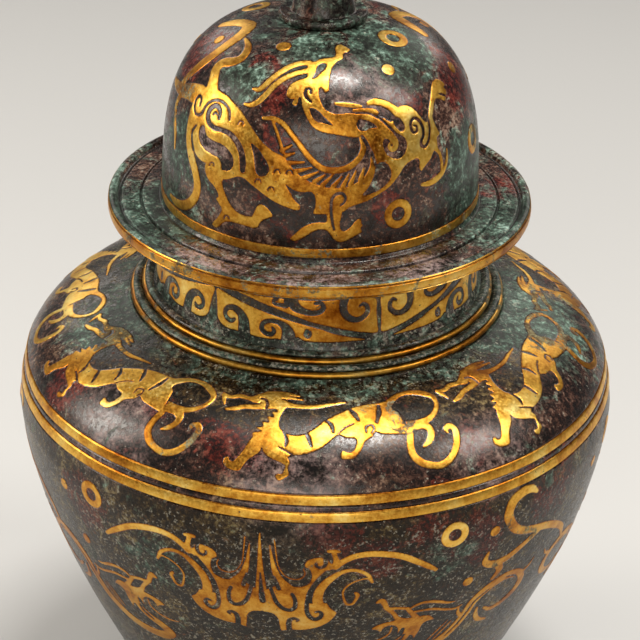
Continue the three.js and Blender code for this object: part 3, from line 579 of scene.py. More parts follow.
# %% Floor
FLOOR_HALF, PAPER_GREY, PAPER_ROUGHNESS = 4, (0.62, 0.61, 0.59, 1), 0.8
floor_shape = bmesh.new()
bmesh.ops.create_grid(floor_shape, x_segments=1, y_segments=1, size=FLOOR_HALF)
floor_mesh = bpy.data.meshes.new("floor")
floor_shape.to_mesh(floor_mesh)
floor_shape.free()
floor = bpy.data.objects.new("floor", floor_mesh)
bpy.context.scene.collection.objects.link(floor)
paper = bpy.data.materials.new("paper")
paper.use_nodes = True
paper_shader = paper.node_tree.nodes["Principled BSDF"]
paper_shader.inputs["Base Color"].default_value = PAPER_GREY
paper_shader.inputs["Roughness"].default_value = PAPER_ROUGHNESS
floor_mesh.materials.append(paper)
print("floor laid")

# %% [markdown]
# ## Turned pieces
#
# A profile is a list of radius and height. `eased` rounds its corners, and `turned` spins it about the
# axis. Modifiers could do both, but the drawings have to lie on the same wall, so they ask the same
# functions where it is. Nothing this old is quite true, so `unevenness` moves every point in or out by a
# fraction of a millimetre. The drawings use it too, and so they stay on their walls.


# %% Profiles
def bezier(corners, steps):
    """Points along the curve of a start, two handles and an end."""
    start, leave, reach, end = (np.array(corner, float) for corner in corners)
    t = np.linspace(0, 1, steps + 1)[:, None]
    return (1 - t) ** 3 * start + 3 * (1 - t) ** 2 * t * leave + 3 * (1 - t) * t ** 2 * reach + t ** 3 * end


def curve(start, end, pulls, steps):
    """The CAD curve between two points, with its pulls as shares of the way across and up."""
    start, end = np.array(start, float), np.array(end, float)
    leave, reach = (start + (end - start) * np.array(pull) for pull in pulls)
    return bezier((start, leave, reach, end), steps)


def eased(points, radius=0.4, arc=4, straight=-0.97, share=0.45):
    """Round every corner of a profile that turns by more than about 14 degrees."""
    points = [np.array(p, float) for p in points]
    made = [points[0]]
    for before, here, after in zip(points, points[1:], points[2:]):
        back, on = before - here, after - here
        lengths = np.linalg.norm(back), np.linalg.norm(on)
        cosine = np.dot(back, on) / (lengths[0] * lengths[1])
        if cosine < straight:
            made.append(here)
            continue
        reach = min(radius, share * lengths[0], share * lengths[1])
        first, last = here + back / lengths[0] * reach, here + on / lengths[1] * reach
        for t in np.linspace(0, 1, arc):
            made.append((1 - t) ** 2 * first + 2 * (1 - t) * t * here + t ** 2 * last)
    made.append(points[-1])
    return np.array(made)


def moulded(corner, offsets):
    """A moulding: points at offsets across and up from a corner."""
    return [(corner[0] + across, corner[1] + rise) for across, rise in offsets]


print("profile helpers ready")

# %% Turning
# height of a wave, waves round the jar, millimetres of height to a radian, and phase
WAVES = [(0.10, 3, 29, 0.6), (0.06, 7, -13, 2.1), (0.035, 17, 7.3, 4.0), (0.02, 41, -3.7, 0)]
TURN_STEPS, TURN_CREASE, SAME_POINT, ON_AXIS = 224, 35, 1e-4, 1


def unevenness(turn, z):
    """How far a hand-finished wall stands in or out at an azimuth in radians and a height."""
    return sum(size * np.sin(count * turn + z / pitch + phase) for size, count, pitch, phase in WAVES)


def finished(name, mesh, materials, crease):
    """Turn a bmesh into a smooth object, creased where it turns by more than `crease` degrees."""
    for face in mesh.faces:
        face.smooth = True
    for edge in mesh.edges:
        edge.smooth = edge.is_boundary or edge.calc_face_angle(0) < math.radians(crease)
    data = bpy.data.meshes.new(name)
    mesh.to_mesh(data)
    mesh.free()
    for material in materials:
        data.materials.append(material)
    made = bpy.data.objects.new(name, data)
    bpy.context.scene.collection.objects.link(made)
    return made


def turned(name, profile, materials, closed=False, steps=TURN_STEPS, rough=1.0, depths=None):
    """Spin a profile about Z and make the object. A closed profile is a loop, such as a hoop's section.
    On gold, depths say how far in from the edge each point of the profile lies."""
    mesh = bmesh.new()
    layer = mesh.verts.layers.float.new("depth")
    ring = [mesh.verts.new((radius, 0, z)) for radius, z in profile]
    for vert, depth in zip(ring, depths or [0] * len(ring)):
        vert[layer] = depth
    pairs = list(zip(ring, ring[1:])) + ([(ring[-1], ring[0])] if closed else [])
    edges = [mesh.edges.new(pair) for pair in pairs]
    bmesh.ops.spin(mesh, geom=ring + edges, axis=(0, 0, 1), cent=(0, 0, 0), angle=2 * math.pi,
                   steps=steps, use_merge=True)
    bmesh.ops.remove_doubles(mesh, verts=mesh.verts, dist=SAME_POINT)
    bmesh.ops.recalc_face_normals(mesh, faces=mesh.faces)
    for vert in mesh.verts:
        radius = math.hypot(vert.co.x, vert.co.y)
        if radius > ON_AXIS:
            moved = radius + rough * float(unevenness(math.atan2(vert.co.x, -vert.co.y), vert.co.z))
            vert.co.x *= moved / radius
            vert.co.y *= moved / radius
    bmesh.ops.scale(mesh, vec=(MM, MM, MM), verts=mesh.verts)
    return finished(name, mesh, materials, TURN_CREASE)


def stands_for(piece, node, body):
    """Ride on a body in place of a CAD node, which is hidden."""
    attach(piece, body)
    if node:
        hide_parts(node)
    return piece


print("turning helpers ready")

# %% [markdown]
# ## Walls and seats
#
# The belly, the shoulder and the dome carry the figures, and each is one curve. Between belly and
# shoulder runs the belt, a short cone with a gold band along either edge. Every band lies in a seat that
# was cut for it, with a nick along each edge that shows as a dark line.

# %% Walls of the jar
BELLY_STEPS, SHOULDER_STEPS, DOME_STEPS = 56, 32, 44
SEAT_EDGE = [(-0.35, 0), (-0.05, -0.4), (0.3, -0.25)]
belly = curve((WAIST_RADIUS, FOOT_HEIGHT), (BELLY_RADIUS, WIDEST_Z), BELLY_PULLS, BELLY_STEPS)
shoulder = curve(BELT_TOP, (STEP_RADIUS, STEP_Z), SHOULDER_PULLS, SHOULDER_STEPS)
dome = curve((DOME_RADIUS, DOME_Z), (CROWN_RADIUS, CROWN_Z), DOME_PULLS, DOME_STEPS)
belt_height = BELT_TOP[1] - BELT_FOOT[1]


def belt(rise, out=0):
    """A point of the belt between belly and shoulder, `out` from the wall."""
    share = rise / belt_height
    return (BELT_FOOT[0] + (BELT_TOP[0] - BELT_FOOT[0]) * share + out, BELT_FOOT[1] + rise)


def seat(start, end, line):
    """A band's seat: a shallow bed with a deeper nick along each edge."""
    return ([line(start + rise, out) for rise, out in SEAT_EDGE]
            + [line(end - rise, out) for rise, out in reversed(SEAT_EDGE)])


print("walls:", len(belly), "belly,", len(shoulder), "shoulder and", len(dome), "dome points")

# %% [markdown]
# ## The jar's body
#
# The body is one hollow casting: a foot ring, the belly, the belt, the shoulder and a neck in two steps.
# Each step has a corner for a gold wire and a rounded bead above it. Foot and lower belly are plain.

# %% The jar's body
FOOT_EDGE, FOOT_EASE, FOOT_STEPS, RECESS_SLOPE, FLOOR_WALL, FLOOR_COVE = 0.8, 0.6, 8, 2, 5, 8
BELT_SWELL, INNER_SHOULDER, INNER_BELLY_RISE = 0.05, 2.2, 0.8
SHOULDER_LIP = [(1.5, 0.1), (0.8, 0.6), (0.1, 0.4)]
STEP_MOULDING = [(-STEP_INSET, 0.2), (-STEP_INSET, 2.1), (-1, 2.8), (-0.55, 3.4), (-1, 4), (-2.1, 4.25),
                 (-3.2, 3.9), (-3.9, 3.2)]
foot_inner = FOOT_RADIUS - FOOT_RING
floor_z = FOOT_RECESS + FLOOR_WALL
foot_curve = curve((FOOT_RADIUS - FOOT_EASE, FOOT_LIP + FOOT_EASE), (WAIST_RADIUS, FOOT_HEIGHT), FOOT_PULLS,
                   FOOT_STEPS)
outside = [(0, FOOT_RECESS), (foot_inner - RECESS_SLOPE, FOOT_RECESS), (foot_inner, 0),
           (FOOT_RADIUS - FOOT_EDGE, 0), (FOOT_RADIUS, FOOT_EDGE), (FOOT_RADIUS, FOOT_LIP),
           *foot_curve, *belly[1:]]
outside += seat(0, BELT_BAND, belt) + [belt(belt_height / 2, BELT_SWELL)]
outside += seat(belt_height - BELT_BAND, belt_height, belt)
outside += list(shoulder[1:-2]) + moulded((STEP_RADIUS, STEP_Z), SHOULDER_LIP)
for corner in ((STEP_RADIUS, STEP_Z), (UPPER_STEP_RADIUS, STEP_Z + STEP_HEIGHT)):
    outside += moulded(corner, STEP_MOULDING)
outside += [FRIEZE_FOOT, FRIEZE_TOP, (FRIEZE_TOP[0], RIM_Z)]
mouth = FRIEZE_TOP[0] - WALL
inside = [(mouth, RIM_Z), (mouth, STEP_Z + STEP_HEIGHT),
          *[(r - INNER_SHOULDER, z - WALL) for r, z in shoulder[::-2]], (BELT_FOOT[0] - WALL, BELT_FOOT[1]),
          *[(r - WALL, z + INNER_BELLY_RISE) for r, z in belly[::-2]],
          (belly[0][0] - WALL - FLOOR_COVE, floor_z), (0, floor_z)]
jar = turned("jar_body_cast", eased(outside + inside), [jar_bronze])
stands_for(jar, "jar_body", "jar")
print("jar body:", len(jar.data.polygons), "faces")

# %% [markdown]
# ## The lid
#
# The lid is a casting too: a dome on a flat brim, a spigot that drops into the neck, a rounded lip and
# two grooves round the brim. The brim's upright edge is gilded all over, above and below its band. A
# second sheet could be laid there, but gilding has no thickness to see, so those faces of the casting are
# gold.

# %% Lines of the lid
BRIM_BEAD = [(0.1, -0.4), (-0.4, 0.2), (-1.5, 0.5), (-2.6, 0.2), (-3, -1.2), (-3.8, -1.6)]
BRIM_GROOVE = [(0.5, 0), (0.2, -0.9), (-0.2, -0.9), (-0.5, 0.3)]
DOME_COVE = (0.6, 0.3)
BRIM_UNDER_EDGE, LIP_FOOT, GROOVE_RADIUS, TENON_HOLE, INNER_CROWN, INNER_DROP = 0.6, 0.5, 60, 4.3, 4.5, 2.6
brim_foot = BRIM_Z + (BRIM_TOP_Z - BRIM_Z - BRIM_BAND) / 2
dish_z = BRIM_TOP_Z - BRIM_DISH
spigot_inner = SPIGOT_RADIUS - SPIGOT_WALL


def brim_line(rise, out=0):
    """A point of the brim's edge, from the foot of its band."""
    return (BRIM_RADIUS + out, brim_foot + rise)


def dome_line(rise, out=0):
    """A point of the dome's foot, from the foot of its band."""
    return (DOME_RADIUS + out, DOME_Z - DOME_BAND + rise)


print("brim's band from", brim_foot, "mm, dish at", dish_z, "mm")

# %% The lid
GILT_IN, GILT_FOOT, GILT_TOP = 0.75, 0.2, 0.1
lid_outside = [(SPIGOT_RADIUS, BRIM_Z - SPIGOT_DEPTH), (SPIGOT_RADIUS, BRIM_Z),
               (BRIM_RADIUS - BRIM_UNDER_EDGE, BRIM_Z), *seat(0, BRIM_BAND, brim_line),
               *moulded((BRIM_RADIUS, BRIM_TOP_Z), BRIM_BEAD), (BRIM_RADIUS - BRIM_LIP - LIP_FOOT, dish_z),
               *moulded((GROOVE_RADIUS, dish_z), BRIM_GROOVE), *moulded((DOME_RADIUS, dish_z), [DOME_COVE]),
               *seat(0, DOME_BAND, dome_line), *dome[1:], (TENON_HOLE, CROWN_Z)]
inner_dome = [(max(r - LID_WALL, INNER_CROWN), z - INNER_DROP) for r, z in dome[::-2]]
lid_inside = [(TENON_HOLE, CROWN_Z - LID_WALL), *inner_dome[1:], (DOME_RADIUS - LID_WALL, BRIM_TOP_Z),
              (spigot_inner, BRIM_Z), (spigot_inner, BRIM_Z - SPIGOT_DEPTH)]
lid_profile = eased(lid_outside + lid_inside)
lid = turned("lid_cast", lid_profile, [lid_bronze], closed=True, depths=[1] * len(lid_profile))
stands_for(lid, "lid", "lid")
lid.data.materials.append(gold)
for face in lid.data.polygons:
    x, y, z = face.center / MM
    on_edge = math.hypot(x, y) > BRIM_RADIUS - GILT_IN and BRIM_Z + GILT_FOOT < z < BRIM_TOP_Z - GILT_TOP
    face.material_index = 1 if on_edge else 0
print("lid:", len(lid.data.polygons), "faces")

# %% [markdown]
# ## The finial
#
# The finial was cast on its own. Its tenon goes through the crown and is riveted under it, a collar
# covers the joint, and a bud stands on a short stem. The bud is one curve, pulled out wide above its
# foot.

# %% The finial
COLLAR_GAP, COLLAR_EDGE, TENON_RADIUS, STEM_FLARE, BUD_FOOT_RADIUS = 0.3, 0.4, 4, 0.8, 8.2
RIVET_HEAD = [(0, -2.3), (6, -2.3), (7, -1.3), (7, -0.3), (4, -0.3)]
BUD_PULLS = [(1.26, 0.2), (1.1, 0.74)]
BUD_STEPS, FINIAL_STEPS, FINIAL_ROUGH = 32, 96, 0.6
collar_z = CROWN_Z + COLLAR_GAP
stem_z = collar_z + COLLAR_HEIGHT
bud_z = stem_z + STEM_HEIGHT
bud_handles = [(across * BUD_RADIUS, bud_z + rise * BUD_HEIGHT) for across, rise in BUD_PULLS]
bud = bezier([(BUD_FOOT_RADIUS, bud_z), *bud_handles, (0, bud_z + BUD_HEIGHT)], BUD_STEPS)
finial_profile = [*moulded((0, CROWN_Z - LID_WALL), RIVET_HEAD), (TENON_RADIUS, collar_z),
                  (COLLAR_RADIUS - COLLAR_EDGE, collar_z), (COLLAR_RADIUS, collar_z + COLLAR_HEIGHT / 2),
                  (COLLAR_RADIUS - COLLAR_EDGE, stem_z), (STEM_RADIUS + STEM_FLARE, stem_z),
                  (STEM_RADIUS, stem_z + STEM_HEIGHT / 2), *bud]
finial = turned("finial_cast", eased(finial_profile), [lid_bronze], steps=FINIAL_STEPS, rough=FINIAL_ROUGH)
stands_for(finial, "finial", "lid")
print("finial:", len(finial.data.polygons), "faces")

# %% [markdown]
# ## Gold bands and wires
#
# A band is a strip of sheet gold hammered into its seat, a little proud and rounded over at its edges. A
# wire is round gold laid in the corner of a step, and it is less even than the cast wall. Both are spun
# from a closed section, which keeps their edges clean.

# %% Gold bands and wires
# rise from the band's edge, distance out from the wall, and depth in the gold
HOOP_EDGE = [(0.15, -0.5, 0), (0.1, -0.05, 0), (0.3, 0.16, 0.2), (0.8, 0.24, 0.8)]
HOOP_CREST, HOOP_DEPTH = 0.27, 2
WIRE_POINTS, WIRE_ROUGH, WIRE_DEPTH = 12, 1.6, 1.5


def hoop(name, node, body, line, width):
    """A band of sheet gold in its seat."""
    lower = [line(rise, out) for rise, out, _ in HOOP_EDGE]
    upper = [line(width - rise, out) for rise, out, _ in reversed(HOOP_EDGE)]
    depths = [depth for _, _, depth in HOOP_EDGE]
    made = turned(name, [*lower, line(width / 2, HOOP_CREST), *upper], [gold], closed=True,
                  depths=[*depths, HOOP_DEPTH, *reversed(depths)])
    return stands_for(made, node, body)


def wire(name, node, radius, z):
    """A round gold wire in the corner of a step."""
    section = [(radius + WIRE_SEAT + WIRE_RADIUS * math.cos(a), z + WIRE_SEAT + WIRE_RADIUS * math.sin(a))
               for a in np.linspace(0, 2 * math.pi, WIRE_POINTS + 1)[:-1]]
    made = turned(name, section, [gold], closed=True, rough=WIRE_ROUGH, depths=[WIRE_DEPTH] * len(section))
    return stands_for(made, node, "jar")


def upper_belt(rise, out=0):
    """A point of the belt, from the foot of its upper band."""
    return belt(belt_height - BELT_BAND + rise, out)


hoop("belt_gold_lower", "belt_band_lower", "jar", belt, BELT_BAND)
hoop("belt_gold_upper", "belt_band_upper", "jar", upper_belt, BELT_BAND)
hoop("brim_gold", "brim_edge_band", "lid", brim_line, BRIM_BAND)
hoop("dome_gold", "dome_foot_band", "lid", dome_line, DOME_BAND)
wire("wire_gold_lower", "neck_wire_lower", STEP_RADIUS - STEP_INSET, STEP_Z)
wire("wire_gold_upper", "neck_wire_upper", UPPER_STEP_RADIUS - STEP_INSET, STEP_Z + STEP_HEIGHT)
print("4 bands and 2 wires")

# %% [markdown]
# ## Inlaid drawings
#
# A goldsmith cuts a figure out of sheet gold and beats it into a recess. A boolean cut could make the
# recess, and a picture could carry the figure, but sheet gold has an edge, a thickness and a dark line
# round it, so each figure is a mesh of its own.
#
# A drawing is made of strokes, and a stroke is a list of points: azimuth in degrees, height along the
# wall and width. A plate is a closed outline without widths. A point's depth is how far it lies inside
# the nearest stroke or plate, in millimetres, so the edge of the gold is where the depth is 0. A fine
# lattice of triangles is cut along that edge and along a dark border outside it, then laid on the wall.


# %% A wall to draw on
class Wall:
    """A wall to draw on, from its foot to its top, with the length along it as the height of a drawing."""

    def __init__(self, points):
        self.points = np.array(points, float)
        runs = np.diff(self.points, axis=0)
        self.lengths = np.concatenate([[0], np.cumsum(np.hypot(*runs.T))])
        along = np.gradient(self.points, self.lengths, axis=0)
        along /= np.linalg.norm(along, axis=1)[:, None]
        self.outward = np.stack([along[:, 1], -along[:, 0]], 1)
        self.field = self.lengths[-1]

    def read(self, height, values):
        return np.interp(height, self.lengths, values)

    def degree(self, height):
        """Millimetres along the wall for a degree of azimuth."""
        return np.radians(self.read(height, self.points[:, 0]))

    def place(self, azimuth, height, out):
        """Points in metres, `out` from the wall."""
        turn = np.radians(azimuth)
        z = self.read(height, self.points[:, 1]) + self.read(height, self.outward[:, 1]) * out
        radius = self.read(height, self.points[:, 0]) + self.read(height, self.outward[:, 0]) * out
        radius = radius + unevenness(turn, z)
        return np.stack([radius * np.sin(turn), -radius * np.cos(turn), z], 1) * MM


print("walls can be drawn on")

# %% Strokes and outlines
FAR_OUTSIDE = -9.0


def sampled(wall, points, closed=False, spacing=0.25):
    """Close samples along the smooth line through a stroke's points, or round a closed outline."""
    points = np.array(points, float)
    if closed:
        points = np.vstack([points[-3:], points, points[:3]])
        points = np.hstack([points, np.zeros((len(points), 1))])
    degree = wall.degree(points[:, 1])
    across = np.diff(points[:, 0]) * (degree[1:] + degree[:-1]) / 2
    chords = np.hypot(across, np.diff(points[:, 1]))
    knots = np.concatenate([[0], np.cumsum(np.sqrt(chords))])
    slopes = np.gradient(points[:, :2], knots, axis=0)
    made = []
    for i, chord in enumerate(chords):
        t = np.linspace(0, 1, max(3, math.ceil(chord / spacing)))[:, None]
        span = knots[i + 1] - knots[i]
        line = ((2 * t ** 3 - 3 * t ** 2 + 1) * points[i, :2] + (t ** 3 - 2 * t ** 2 + t) * span * slopes[i]
                + (3 * t ** 2 - 2 * t ** 3) * points[i + 1, :2] + (t ** 3 - t ** 2) * span * slopes[i + 1])
        made.append(np.hstack([line, points[i, 2] + (points[i + 1, 2] - points[i, 2]) * t]))
    return np.vstack(made[3:-2] if closed else made)


def reach_into(wall, azimuth, height, samples, depth, run=24, beyond=2.2):
    """Raise each point's depth to how far it lies inside a stroke, a short run of samples at a time."""
    degree = wall.degree(height)
    for start in range(0, len(samples), run):
        part = samples[start:start + run + 1]
        wide = part[:, 2].max() / 2 + beyond
        middle = part[:, :2].mean(0)
        span = np.abs(part[:, :2] - middle).max(0)
        near = np.flatnonzero((np.abs(height - middle[1]) < span[1] + wide)
                              & (np.abs(azimuth - middle[0]) * degree < span[0] * degree + wide))
        across = (azimuth[near, None] - part[None, :, 0]) * degree[near, None]
        far = np.hypot(across, height[near, None] - part[None, :, 1])
        depth[near] = np.maximum(depth[near], (part[:, 2] / 2 - far).max(1, initial=FAR_OUTSIDE))


def deepest(wall, azimuth, height, lines):
    """How far each point lies inside the nearest of some sampled strokes."""
    depth = np.full(len(azimuth), FAR_OUTSIDE)
    for line in lines:
        reach_into(wall, azimuth, height, line, depth)
    return depth


def plate_depth(wall, azimuth, height, outline):
    """How far each point lies inside a closed outline, or outside it as a negative depth."""
    line = sampled(wall, outline, closed=True)
    depth = deepest(wall, azimuth, height, [line])
    inside = np.zeros(len(azimuth), bool)
    for (turn, low, _), (next_turn, high, _) in zip(line, np.roll(line, -1, axis=0)):
        if low != high:
            crossing = turn + (height - low) / (high - low) * (next_turn - turn)
            inside ^= ((low > height) != (high > height)) & (azimuth < crossing)
    return np.where(inside, -depth, depth)


print("strokes and outlines ready")

# %% Lattice
MARGIN, ROW_HEIGHT = 1.5, 0.866


def lattice_over(wall, samples, pitch):
    """A triangular lattice that covers a drawing's samples: azimuths, heights and faces."""
    margin = samples[:, 2].max() / 2 + MARGIN
    degree = wall.degree(samples[:, 1]).min()
    low = samples[:, :2].min(0) - (margin / degree, margin)
    high = samples[:, :2].max(0) + (margin / degree, margin)
    scale = wall.degree(samples[:, 1].mean())
    rows = np.arange(low[1], high[1] + pitch, pitch * ROW_HEIGHT)
    columns = np.arange(low[0] * scale, high[0] * scale + pitch, pitch)
    shift = (np.arange(len(rows)) % 2)[:, None] * pitch / 2
    azimuth = ((columns[None, :] + shift) / scale).ravel()
    height = np.repeat(rows, len(columns))
    here = (np.arange(len(rows) - 1)[:, None] * len(columns) + np.arange(len(columns) - 1)).ravel()
    above = here + len(columns)
    odd = np.repeat(np.arange(len(rows) - 1) % 2 == 1, len(columns) - 1)[:, None]
    first = np.where(odd, np.stack([here, here + 1, above + 1], 1), np.stack([here, here + 1, above], 1))
    second = np.where(odd, np.stack([here, above + 1, above], 1), np.stack([here + 1, above + 1, above], 1))
    return azimuth, height, np.vstack([first, second])


def split(points, faces, depth, level):
    """Cut each triangle that crosses a level of depth, so that an edge of the mesh runs along it."""
    over = depth[faces] > level
    count = over.sum(1)
    whole, crossed = faces[(count == 0) | (count == 3)], faces[(count == 1) | (count == 2)]
    over = depth[crossed] > level
    odd = np.where(over.sum(1) == 1, over.argmax(1), (~over).argmax(1))
    a, b, c = (crossed[np.arange(len(crossed)), (odd + k) % 3] for k in range(3))
    pairs = np.sort(np.vstack([np.stack([a, b], 1), np.stack([a, c], 1)]), 1)
    edges, which = np.unique(pairs, axis=0, return_inverse=True)
    low, high = depth[edges[:, 0]], depth[edges[:, 1]]
    share = ((level - low) / (high - low))[:, None]
    fresh = points[edges[:, 0]] * (1 - share) + points[edges[:, 1]] * share
    which = which.reshape(-1) + len(points)
    ab, ac = which[:len(a)], which[len(a):]
    faces = np.vstack([whole, np.stack([a, ab, ac], 1), np.stack([ab, b, c], 1), np.stack([ab, c, ac], 1)])
    return np.vstack([points, fresh]), faces, np.concatenate([depth, np.full(len(edges), level)])


print("lattice ready")

# %% Meshing a drawing
BORDER, BEVEL_DEPTH, SNAP = -0.5, 0.22, 0.02
FIGURE_LATTICE, RING_LATTICE, CLOUD_LATTICE, PANEL_LATTICE = 0.5, 0.55, 0.6, 0.42


def drawing(wall, strokes, cuts=(), plates=(), pools=(), tongues=(), lattice=RING_LATTICE, ready=False):
    """Mesh a drawing on the unrolled wall: points (azimuth, height), faces and depths. Strokes and plates
    are gold, cuts and pools are dark places in them, and tongues are gold again over those."""
    lines = list(strokes) if ready else [sampled(wall, stroke) for stroke in strokes]
    outlines = [sampled(wall, plate, closed=True) for plate in plates]
    azimuth, height, faces = lattice_over(wall, np.vstack(lines + outlines), lattice)
    depth = deepest(wall, azimuth, height, lines)
    for plate in plates:
        depth = np.maximum(depth, plate_depth(wall, azimuth, height, plate))
    dark = deepest(wall, azimuth, height, [sampled(wall, line) for line in cuts])
    for pool in pools:
        dark = np.maximum(dark, plate_depth(wall, azimuth, height, pool))
    depth = np.minimum(depth, -dark)
    depth = np.maximum(depth, deepest(wall, azimuth, height, [sampled(wall, line) for line in tongues]))
    faces = faces[(depth[faces] > BORDER).any(1)]
    points = np.stack([azimuth, height], 1)
    for level in (BORDER, 0, BEVEL_DEPTH):
        depth = np.where(np.abs(depth - level) < SNAP, level, depth)
        points, faces, depth = split(points, faces, depth, level)
    faces = faces[depth[faces].mean(1) > BORDER]
    used, faces = np.unique(faces, return_inverse=True)
    return points[used], faces.reshape(-1, 3), depth[used]


print("drawings can be meshed")

# %% Laying a drawing
# how far out from the wall a point stands at each depth, from the groove to the middle of the gold
RELIEF_AT = [BORDER, -0.25, -0.02, BEVEL_DEPTH, 2.0]
RELIEF = [-0.05, 0.03, 0.04, 0.15, 0.2]
WELD, FIGURE_CREASE = 0.004, 60
CIRCLE_POINTS, RING_RADIUS, RING_WIDTH = 24, 3.6, 2.65


def lay(name, node, body, wall, drawn, azimuth=0, stretch=1.0):
    """Lay a drawing on its wall. A negative stretch mirrors it."""
    points, faces, depth = drawn
    out = np.interp(depth, RELIEF_AT, RELIEF)
    places = wall.place(points[:, 0] * stretch + azimuth, points[:, 1], out)
    if stretch < 0:
        faces = faces[:, ::-1]
    mesh = bmesh.new()
    layer = mesh.verts.layers.float.new("depth")
    verts = [mesh.verts.new(place) for place in places]
    for vert, value in zip(verts, depth):
        vert[layer] = value
    is_gold = depth[faces].mean(1) > 0
    for corners, golden in zip(faces, is_gold):
        face = mesh.faces.new([verts[i] for i in corners])
        face.material_index = 0 if golden else 1
    bmesh.ops.remove_doubles(mesh, verts=mesh.verts, dist=WELD * MM)
    bmesh.ops.dissolve_degenerate(mesh, edges=mesh.edges, dist=WELD * MM)
    made = finished(name, mesh, [gold, groove_bronze], FIGURE_CREASE)
    return stands_for(made, node, body)


def mirrored(strokes):
    """The same strokes or outlines on the other side of the drawing's axis."""
    return [[(-turn, *rest) for turn, *rest in stroke] for stroke in strokes]


def circle(wall, azimuth, height, radius, width):
    """A ring, or a dot where its width is twice its radius."""
    turns = np.linspace(0, 2 * math.pi, max(4, int(radius * CIRCLE_POINTS)))
    degree = wall.degree(height)
    return np.stack([azimuth + radius * np.cos(turns) / degree, height + radius * np.sin(turns),
                     np.full(len(turns), width)], 1)


def ring_drawing(wall, azimuth, height):
    """One of the jar's gold rings, which are all of a size."""
    return drawing(wall, [circle(wall, azimuth, height, RING_RADIUS, RING_WIDTH)], ready=True)


def dot_drawing(wall, dots):
    """Dots, each an azimuth, a height and a diameter, as one drawing."""
    circles = [circle(wall, turn, height, size / 2, size) for turn, height, size in dots]
    return drawing(wall, circles, ready=True)


print("drawings can be laid")

# %% [markdown]
# ## The dome's dragons
#
# One dragon winds round each half of the dome: horned head looking back, arched breast, curling tail and
# four clawed legs. Heights run up the dome from the top of its gold band. The broad parts are plates,
# because a goldsmith would cut them from one sheet, and the horns, tail and whiskers are tapered strokes.

